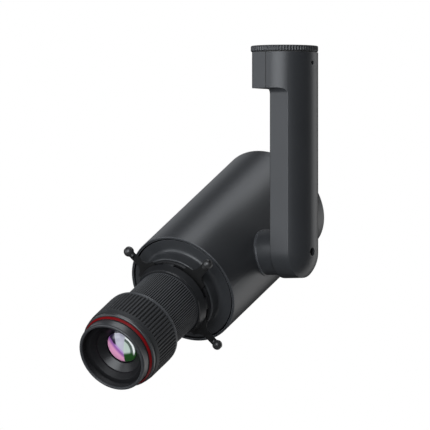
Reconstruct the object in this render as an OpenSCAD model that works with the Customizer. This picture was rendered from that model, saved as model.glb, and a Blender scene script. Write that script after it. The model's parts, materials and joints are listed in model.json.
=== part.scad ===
// Framing spotlight on a ceiling arm: a round lamp body on a side pivot, four framing shutters
// and a zoom lens with a focus ring. The origin is the centre of the mounting disc's top face,
// +Z is up, the lens looks towards -Y, and +X runs from the lamp body to the arm.

/* [Overall] */
// Height from the tilt pivot to the top face of the mounting disc
pivot_drop = 150.5; // [130:0.5:200]
// Downward tilt of the lamp body in the modelled pose
rest_tilt = 29.5; // [5:0.5:60]
// Distance from the arm's inner face to the optical axis
axis_offset = 57.2; // [55:0.2:70]

/* [Mounting disc] */
// Diameter of the mounting disc, the head and the arm's round back
head_d = 49.2; // [46:0.1:54]
// Thickness of the mounting disc
disc_h = 4.3; // [3.5:0.1:8]
// Number of grip ribs around the disc
disc_ribs = 70; // [40:1:90]
// Depth of the grooves between the grip ribs
disc_rib_depth = 0.55; // [0.3:0.05:1]
// Width of the soft edge on the disc's two rims
disc_edge = 0.4; // [0.2:0.1:1]
// Outer diameter of the pan spindle
spindle_d = 13.8; // [13:0.1:16]
// Length of the pan spindle below the disc's top face
spindle_len = 23.6; // [23:0.1:26]
// Diameter of the tapped stem hole, cut for an M10x1 thread
stem_hole_d = 9; // [8:0.1:10]
// Depth of the tapped stem hole
stem_hole_depth = 12; // [9:0.5:16]
// Diameter of the lead hole through the lower spindle
lead_hole_d = 6; // [5:0.1:7]
// Thickness of the washer that the head turns on
pan_washer_t = 0.5; // [0.3:0.1:1]

/* [Head and arm] */
// Height of the head block under the disc
head_h = 26.5; // [26:0.1:32]
// Distance that the head reaches past the arm's inner face
head_overhang = 12.8; // [11.8:0.1:12.8]
// Width of the arm between its two flat sides
arm_w = 37.9; // [35:0.1:41]
// Wall thickness of the arm and of the head
arm_wall = 2.5; // [2:0.1:3]
// Thickness of the head's top wall
head_roof = 4; // [3:0.1:6]
// Depth of the hub that turns on the spindle
hub_h = 11.7; // [11:0.1:12.5]
// Wall of the hub around the spindle
hub_wall = 3.6; // [2.5:0.1:4]
// Radius of the fillets under the head
head_fillet = 4.4; // [1:0.1:5]
// Depth of the pan lock screw below the head's top
lock_drop = 7.9; // [6:0.1:9]
// Thickness of the arm's inner cover
cover_t = 1.4; // [1:0.1:2]
// Width of the ledge that the cover lies on
cover_ledge = 1.3; // [0.8:0.1:1.6]
// Thickness of the pivot web inside the arm
web_t = 3.5; // [2.5:0.1:4.5]
// Height of the pivot web above the pivot
web_up = 20; // [18.5:0.5:26]

/* [Tilt pivot] */
// Outer diameter of the hollow pivot shaft
shaft_d = 15.8; // [15:0.1:17]
// Bore of the pivot shaft, which the lead passes through
shaft_bore_d = 10; // [9:0.1:11]
// Thickness of the fibre washer between the knuckle and the arm
tilt_washer_t = 0.5; // [0.3:0.1:1]
// Diameter of the knuckle
knuckle_d = 32.8; // [31.5:0.1:36]
// Width that the knuckle's foot stands proud
knuckle_lip = 0.7; // [0.3:0.1:1.5]
// Height of the knuckle's foot on the lamp body
knuckle_foot = 1.1; // [0.6:0.1:2]
// Thickness of the tilt nut
tilt_nut_h = 3.5; // [3:0.1:4]
// Width of the lead slot in the pivot shaft
lead_slot_w = 4.8; // [4.4:0.1:5]
// Opening angle of the lead slot in the pivot shaft
lead_slot_angle = 150; // [140:1:165]
// Thickness of the closed shaft end
shaft_end_t = 1.4; // [1:0.1:1.8]
// Thickness of the brass pad under the tilt lock screw
lock_pad_t = 1.4; // [1:0.1:1.6]
// Diameter of the tilt lock screw
tilt_screw_d = 5.8; // [5:0.1:6.5]
// Length of the tilt lock screw
tilt_screw_len = 5.6; // [4:0.1:6]
// Thickness of the saddle block at its centre
saddle_t = 5.5; // [4.5:0.1:7]

/* [Lamp body] */
// Outer diameter of the lamp body
body_d = 86; // [80:0.5:90]
// Wall of the housing tube
tube_wall = 1.8; // [1.5:0.1:2.5]
// Length of the housing tube behind the pivot
body_rear = 80.5; // [70:0.5:95]
// Length of the housing tube in front of the pivot
body_front = 54.7; // [50:0.1:60]
// Thickness of the rear cap
rear_cap_t = 3; // [2:0.1:4]
// Number of vent slots in the rear cap
vent_count = 24; // [12:1:30]
// Width of a vent slot
vent_w = 2.2; // [1.5:0.1:3]
// Width of the dark groove between the tube and the front bezel
bezel_groove = 0.7; // [0.3:0.1:1.2]
// Thickness of the front bezel plate
bezel_t = 2.2; // [1.5:0.1:3]
// Depth of the bezel plate below the tube's front rim
bezel_recess = 0.7; // [0.2:0.1:1.5]
// Outer diameter of the boss on the bezel
boss_d = 60.4; // [58:0.1:62]
// Height of the boss above the bezel plate
boss_h = 10.6; // [9:0.1:12]
// Radius of the fillet at the foot of the boss
boss_fillet = 3.2; // [1:0.1:4.5]

/* [Light engine] */
// Distance from the pivot to the back of the heat sink
sink_start = 18.2; // [18:0.1:19]
// Thickness of the heat sink base
sink_base_t = 6; // [4:0.1:7]
// Length of the heat sink fins
sink_fin_len = 19; // [12:0.5:20]
// Number of heat sink fins
sink_fins = 24; // [12:1:30]
// Thickness of a heat sink fin
fin_t = 1.3; // [1:0.1:1.8]
// Diameter of the light-emitting board
led_board_d = 28; // [26:0.5:32]
// Thickness of the light-emitting board
led_board_t = 1.6; // [1:0.1:2.5]
// Diameter of the light-emitting surface
emitter_d = 12; // [8:0.5:13]
// Diameter of the condenser lens
condenser_d = 43.6; // [40:0.1:44]
// Wall of the condenser barrel
condenser_wall = 1.5; // [1:0.1:1.7]
// Thickness of the condenser lens at its edge
condenser_edge = 3; // [2:0.1:4]

/* [Gate and shutters] */
// Turn of the gate about the optical axis in the modelled pose
gate_turn = 34.5; // [0:0.5:45]
// Diameter of the gate ring's thin rim
gate_rim_d = 58.6; // [57:0.1:60]
// Thickness of the gate ring's plate
gate_plate_t = 2; // [1.5:0.1:3]
// Diameter of the gate aperture
aperture_d = 26; // [20:0.5:27]
// Diameter of the gate ring's spigot
spigot_d = 51.8; // [50:0.1:52.4]
// Thickness of a shutter blade
blade_t = 0.5; // [0.4:0.05:0.6]
// Thickness of a spacer between two blades
spacer_t = 0.3; // [0.2:0.05:0.4]
// Width of a shutter blade
blade_w = 19; // [16:0.5:20]
// Distance from the optical axis to a blade's shoulder
blade_shoulder = 29.9; // [29:0.1:31]
// Width of a shutter's stem
stem_w = 6.2; // [4:0.1:6.4]
// Diameter of a shutter knob
knob_d = 7.3; // [6.8:0.1:8]
// Distance from the optical axis to a knob's centre
knob_reach = 46.7; // [45:0.1:50]
// Height of the gate cover's cone
cover_cone_h = 4.9; // [4:0.1:6]
// Diameter of the cone where it meets the blades
cover_base_d = 57; // [56:0.1:58]
// Diameter of the cone where it meets the lens
cover_nose_d = 53.2; // [52.6:0.1:54]

/* [Zoom lens] */
// Diameter of the lens tube's flange
lens_flange_d = 52.8; // [52:0.1:53.6]
// Thickness of the lens tube's flange
lens_flange_t = 1.2; // [0.8:0.1:2]
// Outer diameter of the lens tube
lens_tube_d = 44.8; // [44.4:0.1:45.4]
// Wall of the lens tube
lens_tube_wall = 2; // [1.6:0.1:2.2]
// Outer diameter of the zoom ring over its ribs
zoom_ring_d = 50.2; // [49.6:0.1:51]
// Length of the zoom ring
zoom_ring_len = 37.5; // [35:0.5:45]
// Number of fine ribs on the zoom ring
zoom_ribs = 92; // [70:1:140]
// Depth of the fine ribs
zoom_rib_depth = 0.45; // [0.2:0.05:0.6]
// Travel of the zoom lens each way
zoom_travel = 7; // [4:0.5:8]
// Length of the zoom lens carriage
carriage_len = 10; // [8:0.5:12]
// Diameter of the zoom lens
zoom_lens_d = 33; // [30:0.5:34]
// Diameter of the guide pins
pin_d = 2.8; // [2:0.1:3.2]

/* [Focus barrel and hood] */
// Outer diameter of the focus ring over its ribs
focus_ring_d = 60.8; // [60:0.1:62]
// Length of the focus ring
focus_ring_len = 31.5; // [30:0.5:38]
// Number of ribs on the focus ring
focus_ribs = 68; // [48:1:80]
// Depth of the grooves between the focus ribs
focus_rib_depth = 0.9; // [0.4:0.05:1.2]
// Length of the smooth shoulder at the focus ring's rear end
focus_shoulder = 2.2; // [1:0.1:4]
// Length of the smooth band at the focus ring's front end
focus_band = 3.6; // [1:0.1:5]
// Outer diameter of the sliding front barrel
barrel_d = 50.4; // [49.6:0.1:52]
// Diameter of the ridge in front of the focus ring
ridge_d = 59; // [58.4:0.1:60]
// Width of the ridge
ridge_w = 2.6; // [2:0.1:3.5]
// Diameter of the red ring at its wide end, beside the ridge
red_ring_d = 57.6; // [56.4:0.1:58]
// Width of the red ring
red_ring_w = 3; // [1.2:0.1:4]
// Outer diameter of the hood beside the red ring's narrow end
hood_back_d = 53.8; // [53:0.1:55]
// Outer diameter of the hood's front rim
hood_front_d = 54.2; // [53:0.1:56]
// Length of the hood in front of the red ring
hood_len = 7.5; // [7:0.1:12]
// Inner diameter of the hood's mouth
hood_mouth_d = 49; // [46:0.1:50]
// Diameter of the front lens
front_lens_d = 31; // [30:0.1:32]
// Clear opening over the front lens
lens_opening_d = 25.6; // [22:0.1:26.5]
// Radius of the front lens's outer face
front_lens_radius = 28; // [24:0.5:40]

/* [Clearances] */
// Radial clearance of a shaft or sleeve that runs in its bore
run_gap = 0.08; // [0.05:0.01:0.1]
// Clearance of a piece that is fixed in a seat
seat_gap = 0.1; // [0.05:0.01:0.15]
// Clearance between the end faces of pieces that turn
face_gap = 0.2; // [0.1:0.05:0.3]

/* [Hidden] */
$fn = 96;

// Small overlap that lets a cut pass through a face
cut = 1;

// Mounting disc, head and hub
head_r = head_d / 2;
spindle_r = spindle_d / 2;
lead_d = 3.2;
lead_r = lead_d / 2;
head_top = -(disc_h + pan_washer_t);
head_bottom = head_top - head_h;
hub_r = spindle_r + hub_wall;
hub_bottom = head_top - hub_h;
disc_spring_t = 0.6;
disc_spring_h = 1.1;
spindle_nut_h = 3.5;
pan_nut_r = head_overhang - arm_wall - 0.4;
lock_z = head_top - lock_drop;
lock_screw_r = 1.45;
lock_screw_len = 12;
stem_hole_r = stem_hole_d / 2;

// Arm
arm_half = arm_w / 2;
cavity_r = head_r - arm_wall;
cavity_half = arm_half - arm_wall;
fillet_r = min(head_fillet, head_r - arm_half - 0.1);
cover_half = cavity_half + cover_ledge;
web_top = -pivot_drop + web_up;
screw_boss_r = 2.8;
head_boss_r = 3.4;
head_screw_y = cavity_half + 0.6;
head_screw_z = (head_top + head_bottom) / 2;
cover_screw_y = cavity_half - 4;
cover_screw_zs = [head_bottom - 8, web_top + 8];
cover_screw_r = 1;
cover_screw_len = 8;
head_screw_r = 1.4;

// Pivot stack, measured outwards from the arm's inner face
shaft_r = shaft_d / 2;
spring_x = web_t;
nut_x = spring_x + disc_spring_h;
slot_x = nut_x + tilt_nut_h + 0.6;
bore_end = slot_x + lead_slot_w + 0.3;
shaft_tip = bore_end + shaft_end_t;
pad_r = 4.5;
pad_x = shaft_tip + 0.05;
screw_x = pad_x + lock_pad_t;
pocket_x = shaft_tip - 1.6;
boss_x = screw_x + 0.2;
boss_r = 5.6;
tilt_screw_r = tilt_screw_d / 2;
access_r = tilt_screw_r + 0.1;
lead_x = slot_x + lead_slot_w / 2;

// Lamp body, measured along the optical axis from the pivot
body_r = body_d / 2;
tube_r = body_r - tube_wall;
knuckle_r = knuckle_d / 2;
knuckle_top = axis_offset - tilt_washer_t;
saddle_z = tube_r - saddle_t;
saddle_r = 15.5;
flange_r = 8.9;
flange_t = 2.4;
knuckle_screw_off = 12.3;
knuckle_screw_r = 1.7;
rod_r = 2.6;
rod_ring_r = tube_r - 7.2;
rod_angles = [90, 210, 330];
cap_z = -body_rear + 0.6;
cap_screw_r = 1.4;

// Driver
tray_y = rod_ring_r * sin(rod_angles[1]);
tray_x = rod_ring_r * cos(rod_angles[2]);
tray_low = cap_z + rear_cap_t + 4;
tray_len = 46;
tray_t = 1.8;
board_y = tray_y + rod_r + 3.4;
board_t = 1.6;
board_top = board_y + board_t;
board_half = 21;
transformer_w = 18;
transformer_h = 15;
capacitor_r = 4;
capacitor_h = 13;
terminal_w = 10;
terminal_h = 8;
terminal_len = 7;

// Heat sink and light engine
sink_r = tube_r - seat_gap;
sink_top = sink_start + sink_base_t;
barrel_in_r = condenser_d / 2 + seat_gap;
barrel_out_r = barrel_in_r + condenser_wall;
fin_in_r = barrel_out_r + 0.8;
fin_out_r = tube_r - 1.2;
wire_hole_x = -led_board_d / 2 - 2.4;
led_top = sink_top + led_board_t;
emitter_top = led_top + 0.5;
holder_r = barrel_in_r - 0.4;
holder_t = 2.2;
condenser_seat = led_top + holder_t + 5.5;
condenser_radius = 30;
condenser_lip = 1.5;
barrel_rise = 4;

// Bezel and gate
bezel_top = body_front - bezel_recess;
bezel_bottom = bezel_top - bezel_t;
bezel_skirt = 6;
boss_top = bezel_top + boss_h;
boss_r_out = boss_d / 2;
spigot_r = spigot_d / 2;
spigot_bore_r = spigot_r + run_gap;
spigot_wall = 2;
thread_step = 1.1;
retainer_r = spigot_r + 3.2;
retainer_t = 2.6;
spigot_end = bezel_bottom - face_gap - retainer_t - 0.6;
rim_r = gate_rim_d / 2;
gate_bottom = boss_top + face_gap;
gate_top = gate_bottom + gate_plate_t;
aperture_r = aperture_d / 2;
blade_gap = 0.05;
blade_pitch = blade_t + spacer_t + 2 * blade_gap;
blade_start = gate_top + 0.1;
stack_top = blade_start + 3 * blade_pitch + blade_t + 0.1;
blade_tip = aperture_r + 0.2;
post_in_r = 18.5;
post_out_r = cover_base_d / 2 - 0.4;
post_half_angle = 9;
cone_top = stack_top + cover_cone_h;
gate_screw_r = 1;
gate_screw_ring = post_in_r + 1.9;
gate_screw_end = stack_top + 1.8;
knob_r = knob_d / 2;
stem_end = knob_reach - knob_r * 0.35;

// Zoom lens
tube_out_r = lens_tube_d / 2;
tube_in_r = tube_out_r - lens_tube_wall;
flange_top = cone_top + lens_flange_t;
zoom_ring_r = zoom_ring_d / 2;
zoom_start = flange_top + face_gap;
zoom_end = zoom_start + zoom_ring_len;
zoom_recess_r = zoom_ring_r - zoom_rib_depth - 1;
carriage_mid = zoom_start + zoom_ring_len * 0.7;
pin_r = pin_d / 2;
carriage_r = tube_in_r - run_gap;
zoom_lens_r = zoom_lens_d / 2;
zoom_lens_radius = 38;
zoom_lens_edge = 3;
zoom_lens_lip = 1.4;

// Focus barrel and hood
focus_start = zoom_end + 0.5;
focus_end = focus_start + focus_ring_len;
focus_r = focus_ring_d / 2;
barrel_r = barrel_d / 2;
sleeve_start = focus_start + 2.6;
ridge_start = focus_end + face_gap;
ridge_end = ridge_start + ridge_w;
red_start = ridge_end;
hood_start = red_start + red_ring_w;
hood_end = hood_start + hood_len;
front_lens_r = front_lens_d / 2;
front_lens_edge = 4;
front_lens_back = 60;
lens_apex = ridge_start + 0.7;
lens_rim = lens_apex - dip(front_lens_radius, front_lens_r) - front_lens_edge;
lens_back = lens_rim - dip(front_lens_back, front_lens_r);
cell_r = front_lens_r + seat_gap;
cell_lip = 1.4;
cell_start = lens_back + dip(front_lens_back, cell_r - cell_lip) - cell_lip - 0.02;
tube_end = cell_start - 0.6;
cone_out_r = 18.1;
cone_edge = 0.4;
cone_small_z = lens_apex - dip(front_lens_radius, lens_opening_d / 2) + cone_edge + 0.1;
cone_foot_r = cell_r - 0.4;
cone_foot_z = lens_apex - dip(front_lens_radius, cone_foot_r) + 0.3;
hood_neck_r = hood_back_d / 2 - 1.2;
hood_throat_r = 17.6;
hood_step_r = 21;
hood_step_z = hood_end - 5.8;

// Route of the lead in the arm: X and height under the disc's top face, in the plane Y = 0
arm_route_top = [[0, 13], [0, 17], [0, 21], [0, 24.2], [0.5, 26], [1.6, 28], [3, 30], [4.4, 32],
    [5.5, 34.5], [6, 38], [6.2, 46], [6.5, 56], [7, 66], [7.6, 76], [8.2, 86], [8.9, 96]];
// Turn of the lead into the pivot shaft, as steps of a quarter circle
lead_bend = 6.4;
lead_bend_steps = 6;

// Depth of a ball's face at distance r from its axis
function dip(ball, r) = ball - sqrt(ball * ball - r * r);

// A straight rod between two heights
module rod(r, low, high) {
    translate([0, 0, low]) cylinder(r = r, h = high - low);
}

// A straight tube between two heights
module pipe(r_out, r_in, low, high) {
    difference() {
        rod(r_out, low, high);
        rod(r_in, low - cut, high + cut);
    }
}

// A cone frustum between two heights
module frustum(r_low, r_high, low, high) {
    translate([0, 0, low]) cylinder(r1 = r_low, r2 = r_high, h = high - low);
}

// Half of a round disc, on the arm's side for 1 and on the lamp's side for -1
module half_disc(r, side) {
    intersection() {
        circle(r = r);
        translate([side > 0 ? 0 : -r, -r]) square([r, 2 * r]);
    }
}

// Part of a round disc between two flat sides, on the arm's side of a line at X = start
module flat_sided_disc(r, half, start) {
    intersection() {
        circle(r = r);
        translate([start, -half]) square([r - start, 2 * half]);
    }
}

// A 2D shape drawn up between two heights
module column(low, high) {
    translate([0, 0, low]) linear_extrude(height = high - low) children();
}

// Greatest length along X that keeps a boss of radius r at offset y inside the arm's back
function boss_reach(y, r) = sqrt(pow(head_r, 2) - pow(y + r, 2)) - 0.15;

// Local Z runs outwards along the tilt pivot, from the arm's inner face
module pivot_axis() {
    translate([0, 0, -pivot_drop]) rotate([0, 90, 0]) children();
}

// Local Z runs along the optical axis towards the lens, local X towards the arm
module optics() {
    translate([-axis_offset, 0, -pivot_drop]) rotate([90 + rest_tilt, 0, 0]) children();
}

// Local Z runs along the pivot from the optical axis, in the lamp body's own turn
module side_axis() {
    optics() rotate([0, 90, 0]) children();
}

// Ring of points for a toothed outline
function tooth(r_top, r_root, n, i) = let (a = 360 / n) [
    [r_top * cos(a * (i - 0.27)), r_top * sin(a * (i - 0.27))],
    [r_top * cos(a * (i + 0.27)), r_top * sin(a * (i + 0.27))],
    [r_root * cos(a * (i + 0.37)), r_root * sin(a * (i + 0.37))],
    [r_root * cos(a * (i + 0.63)), r_root * sin(a * (i + 0.63))]
];

// A ribbed column with n straight ribs
module ribbed(r_top, depth, n, low, high) {
    points = [for (i = [0 : n - 1]) each tooth(r_top, r_top - depth, n, i)];
    translate([0, 0, low]) linear_extrude(height = high - low) polygon(points);
}

// Countersunk screw with its head's top at 0 and its shank down local -Z
module countersunk_screw(shank_r, length) {
    head_h = shank_r;
    difference() {
        union() {
            frustum(shank_r, 2 * shank_r, -head_h, 0);
            rod(shank_r, -length, -head_h + 0.01);
        }
        translate([0, 0, -0.8 * head_h]) cylinder(r = 0.9 * shank_r, h = head_h + cut, $fn = 6);
    }
}

// Pan head screw with its head's seat at 0 and its shank up local +Z
module pan_screw(shank_r, length) {
    difference() {
        union() {
            rod(1.85 * shank_r, -1.3 * shank_r, 0);
            rod(shank_r, -0.01, length);
        }
        translate([0, 0, -1.3 * shank_r - cut]) cylinder(r = 0.9 * shank_r, h = cut + shank_r, $fn = 6);
    }
}

// Headless screw with a hex socket at its upper end
module grub_screw(r, low, high) {
    difference() {
        rod(r, low, high);
        translate([0, 0, high - r]) cylinder(r = 0.6 * r, h = r + cut, $fn = 6);
    }
}

// Conical disc spring between two heights
module disc_spring(r_in, r_out, low, h, t) {
    translate([0, 0, low]) rotate_extrude() polygon([[r_in, h - t], [r_in, h], [r_out, t], [r_out, 0]]);
}

// Sweep of a round lead along points, as one closed tube
function unit(v) = v / norm(v);
function heading(p, i) = unit(p[min(i + 1, len(p) - 1)] - p[max(i - 1, 0)]);
function side_of(d, up) = unit(cross(d, up));
function ring_at(p, i, up, r, n) = let (
    d = heading(p, i),
    u = side_of(d, up),
    v = cross(u, d)
) [for (k = [0 : n - 1]) p[i] + r * (cos(360 * k / n) * u + sin(360 * k / n) * v)];

module lead_sweep(p, r, up) {
    n = 8;
    m = len(p);
    walls = [for (i = [0 : m - 2]) for (k = [0 : n - 1]) each let (
        a = i * n + k,
        b = i * n + (k + 1) % n
    ) [[a, b, b + n], [a, b + n, a + n]]];
    start = [for (k = [1 : n - 2]) [0, k + 1, k]];
    finish = [for (k = [1 : n - 2]) [(m - 1) * n, (m - 1) * n + k, (m - 1) * n + k + 1]];
    points = [for (i = [0 : m - 1]) each ring_at(p, i, up, r, n)];
    polyhedron(points, concat(walls, start, finish));
}

// Ribbed disc under the ceiling or track fitting
module top_disc() {
    core_r = head_r - disc_rib_depth;
    color([0.17, 0.175, 0.18]) difference() {
        union() {
            ribbed(head_r, disc_rib_depth, disc_ribs, -disc_h + disc_edge, -disc_edge);
            rotate_extrude() polygon([
                [0, 0], [core_r - disc_edge, 0], [core_r, -disc_edge],
                [core_r, -disc_h + disc_edge], [core_r - disc_edge, -disc_h], [0, -disc_h]
            ]);
        }
        rod(spindle_r, -disc_h - cut, cut);
    }
}

// Hollow spindle with the tapped stem hole, fixed in the disc
module pan_spindle() {
    color([0.62, 0.62, 0.64]) difference() {
        rod(spindle_r, -spindle_len, 0);
        rod(stem_hole_r, -stem_hole_depth, cut);
        rod(lead_hole_d / 2, -spindle_len - cut, -stem_hole_depth + cut);
    }
}

// Thin washer between the disc and the head
module pan_friction_washer() {
    color([0.5, 0.5, 0.5]) pipe(head_r - 1.6, spindle_r + seat_gap, head_top, -disc_h);
}

// Conical spring that holds the head up to the disc
module pan_disc_spring() {
    color([0.6, 0.6, 0.62])
        disc_spring(spindle_r + seat_gap, pan_nut_r, hub_bottom - disc_spring_h, disc_spring_h,
            disc_spring_t);
}

// Hex nut on the spindle's lower end
module spindle_nut() {
    nut_top = hub_bottom - disc_spring_h;
    color([0.6, 0.6, 0.62]) difference() {
        translate([0, 0, nut_top - spindle_nut_h]) cylinder(r = pan_nut_r, h = spindle_nut_h, $fn = 6);
        rod(spindle_r, nut_top - spindle_nut_h - cut, nut_top + cut);
    }
}

// Outside of the arm: round back, two flat sides, round head and a domed pivot end
module arm_form() {
    column(head_bottom, head_top) half_disc(head_r, 1);
    column(-pivot_drop, head_bottom) flat_sided_disc(head_r, arm_half, 0);
    pivot_axis() rotate([0, 0, -90]) rotate_extrude(angle = 180) intersection() {
        circle(r = head_r);
        square([arm_half, head_r]);
    }
    for (side = [-1, 1]) under_head_fillet(side);
}

// Concave fillet between the head's underside and one flat side of the arm
module under_head_fillet(side) {
    high = arm_half + fillet_r;
    intersection() {
        column(head_bottom - fillet_r, head_bottom + 0.5) half_disc(head_r, 1);
        difference() {
            translate([0, side > 0 ? arm_half - 0.5 : -high, head_bottom - fillet_r])
                cube([head_r, fillet_r + 0.5, fillet_r + 0.5]);
            translate([-cut, side * high, head_bottom - fillet_r])
                rotate([0, 90, 0]) cylinder(r = fillet_r, h = head_r + 2 * cut);
        }
    }
}

// Space inside the arm and the outer half of the head
module arm_cavity() {
    column(-pivot_drop + 8, head_bottom + arm_wall + cut) flat_sided_disc(cavity_r, cavity_half, -cut);
    column(head_bottom + arm_wall, head_top - head_roof) flat_sided_disc(cavity_r, cavity_r, -cut);
    pivot_axis() rod(cavity_half, web_t, pocket_x);
    pivot_axis() rod(pad_r + 5, web_t, screw_x + 0.8);
}

// Web around the pivot shaft, and bosses that end inside the arm's back
module arm_bosses() {
    translate([0, -cavity_half - 0.5, -pivot_drop + 7])
        cube([web_t, 2 * cavity_half + 1, web_up - 7]);
    for (z = cover_screw_zs) for (side = [-1, 1])
        translate([cover_t, side * cover_screw_y, z]) rotate([0, 90, 0])
            cylinder(r = screw_boss_r, h = boss_reach(cover_screw_y, screw_boss_r) - cover_t);
    for (side = [-1, 1])
        translate([0, side * head_screw_y, head_screw_z]) rotate([0, 90, 0])
            cylinder(r = head_boss_r, h = boss_reach(head_screw_y, head_boss_r));
    column(hub_bottom, head_top - cut) half_disc(hub_r, 1);
    translate([spindle_r + 1, 0, lock_z]) rotate([0, 90, 0])
        cylinder(r = 3.7, h = boss_reach(0, 3.7) - spindle_r - 1);
    pivot_axis() rod(boss_r, boss_x, boss_reach(0, boss_r));
}

// Outer casting of the arm with the outer half of the head
module arm_shell() {
    color([0.16, 0.165, 0.17]) difference() {
        union() {
            difference() {
                arm_form();
                arm_cavity();
            }
            arm_bosses();
        }
        translate([-cut, -cover_half, web_top])
            cube([cover_t + cut, 2 * cover_half, head_bottom - web_top]);
        rod(spindle_r + run_gap, hub_bottom - cut, head_top + cut);
        translate([0, 0, lock_z]) rotate([0, 90, 0]) cylinder(r = lock_screw_r + 0.05, h = head_d);
        pivot_axis() rod(access_r, boss_x - cut, head_d);
        pivot_axis() rod(shaft_r + run_gap, -cut, web_t + cut);
        for (z = cover_screw_zs) for (side = [-1, 1])
            translate([0, side * cover_screw_y, z]) rotate([0, 90, 0])
                cylinder(r = cover_screw_r + 0.05, h = cover_screw_len + 1);
        for (side = [-1, 1])
            translate([-cut, side * head_screw_y, head_screw_z]) rotate([0, 90, 0])
                cylinder(r = head_screw_r + 0.05, h = 10 + cut);
    }
}

// Inner half of the head
module head_block() {
    corner = 2;
    seam = 0.4;
    color([0.16, 0.165, 0.17]) difference() {
        union() {
            difference() {
                union() {
                    translate([-head_overhang, -head_r + corner, head_bottom])
                        cube([head_overhang, head_d - 2 * corner, head_h]);
                    translate([-head_overhang + corner, -head_r, head_bottom])
                        cube([head_overhang - corner, head_d, head_h]);
                    for (side = [-1, 1])
                        translate([-head_overhang + corner, side * (head_r - corner), head_bottom])
                            cylinder(r = corner, h = head_h);
                }
                translate([-head_overhang + arm_wall, -cavity_r, head_bottom + arm_wall])
                    cube([head_overhang, 2 * cavity_r, head_h - arm_wall - head_roof]);
            }
            column(hub_bottom, head_top - cut) half_disc(hub_r, -1);
            for (side = [-1, 1])
                translate([-head_overhang + cut, side * head_screw_y, head_screw_z]) rotate([0, 90, 0])
                    cylinder(r = head_boss_r, h = head_overhang - cut);
        }
        rod(spindle_r + run_gap, hub_bottom - cut, head_top + cut);
        for (side = [-1, 1]) translate([0, side * head_r, head_screw_z]) rotate([0, 0, 45])
            cube([seam, seam, head_h + 2 * cut], center = true);
        for (side = [-1, 1])
            translate([-head_overhang, side * head_screw_y, head_screw_z]) rotate([0, 90, 0]) {
                rod(head_screw_r + 0.05, -cut, head_overhang + cut);
                frustum(2 * head_screw_r + 0.25, head_screw_r, -0.1, head_screw_r + 0.15);
            }
    }
}

// Screws that join the two halves of the head
module head_screws() {
    color([0.2, 0.2, 0.2]) for (side = [-1, 1])
        translate([-head_overhang, side * head_screw_y, head_screw_z]) rotate([0, -90, 0])
            countersunk_screw(head_screw_r, head_overhang + 9);
}

// Flat cover over the arm's wire channel
module arm_cover() {
    color([0.16, 0.165, 0.17]) difference() {
        translate([0, -cover_half + seat_gap, web_top + seat_gap])
            cube([cover_t, 2 * (cover_half - seat_gap), head_bottom - web_top - 2 * seat_gap]);
        for (z = cover_screw_zs) for (side = [-1, 1])
            translate([0, side * cover_screw_y, z]) rotate([0, 90, 0]) {
                rod(cover_screw_r + 0.05, -cut, cover_t + cut);
                frustum(2 * cover_screw_r + 0.15, cover_screw_r, -0.1, cover_screw_r + 0.05);
            }
    }
}

// Screws of the arm's cover
module cover_screws() {
    color([0.2, 0.2, 0.2]) for (z = cover_screw_zs) for (side = [-1, 1])
        translate([0, side * cover_screw_y, z]) rotate([0, -90, 0])
            countersunk_screw(cover_screw_r, cover_screw_len);
}

// Headless screw that presses on the spindle and stops the pan
module pan_lock_screw() {
    start = spindle_r + 0.15;
    color([0.25, 0.25, 0.26]) translate([0, 0, lock_z]) rotate([0, 90, 0])
        grub_screw(lock_screw_r, start, start + lock_screw_len);
}

// Headless screw that presses on the pivot shaft and stops the tilt
module tilt_lock_screw() {
    color([0.25, 0.25, 0.26]) pivot_axis() grub_screw(tilt_screw_r, screw_x, screw_x + tilt_screw_len);
}

// Brass pad between the lock screw and the shaft
module lock_pad() {
    color([0.72, 0.58, 0.3]) pivot_axis() rod(pad_r, pad_x, screw_x);
}

// Lead from the spindle down the arm and into the pivot shaft
module arm_lead() {
    bend_top = -pivot_drop + lead_bend;
    bend = [for (k = [0 : lead_bend_steps]) let (a = 90 * k / lead_bend_steps)
        [lead_x - lead_bend * (1 - cos(a)), 0, bend_top - lead_bend * sin(a)]];
    route = concat(
        [for (p = arm_route_top) [p[0], 0, -p[1]]],
        [[lead_x - 1.2, 0, bend_top + 32], [lead_x - 0.4, 0, bend_top + 20], [lead_x, 0, bend_top + 9]],
        bend,
        [[lead_x - lead_bend - 1.6, 0, -pivot_drop]]
    );
    color([0.12, 0.12, 0.12]) lead_sweep(route, lead_r, [0, 1, 0]);
}

// Round knuckle between the arm and the lamp body
module knuckle() {
    color([0.16, 0.165, 0.17]) side_axis() difference() {
        union() {
            rod(knuckle_r, 0, knuckle_top);
            intersection() {
                rod(knuckle_r + knuckle_lip, 0, knuckle_top);
                rotate([0, 90, 0]) cylinder(r = body_r + knuckle_foot, h = 3 * knuckle_d, center = true);
            }
        }
        rotate([0, 90, 0]) cylinder(r = body_r, h = 4 * knuckle_d, center = true);
        rod(shaft_r + run_gap, 0, axis_offset);
        for (side = [-1, 1]) translate([side * knuckle_screw_off, 0, 0])
            rod(knuckle_screw_r, 0, body_r + 6);
    }
}

// Fibre washer that rubs on the arm
module tilt_friction_washer() {
    color([0.45, 0.3, 0.2]) side_axis() pipe(knuckle_r - 1, shaft_r + seat_gap, knuckle_top, axis_offset);
}

// Conical spring under the tilt nut
module tilt_disc_spring() {
    color([0.6, 0.6, 0.62]) side_axis() translate([0, 0, axis_offset])
        disc_spring(shaft_r + seat_gap, shaft_r + 4.6, spring_x, disc_spring_h, disc_spring_t);
}

// Hex nut on the pivot shaft, inside the arm
module tilt_nut() {
    color([0.6, 0.6, 0.62]) side_axis() translate([0, 0, axis_offset + nut_x]) difference() {
        cylinder(r = shaft_r + 5, h = tilt_nut_h, $fn = 6);
        rod(shaft_r, -cut, tilt_nut_h + cut);
    }
}

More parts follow.
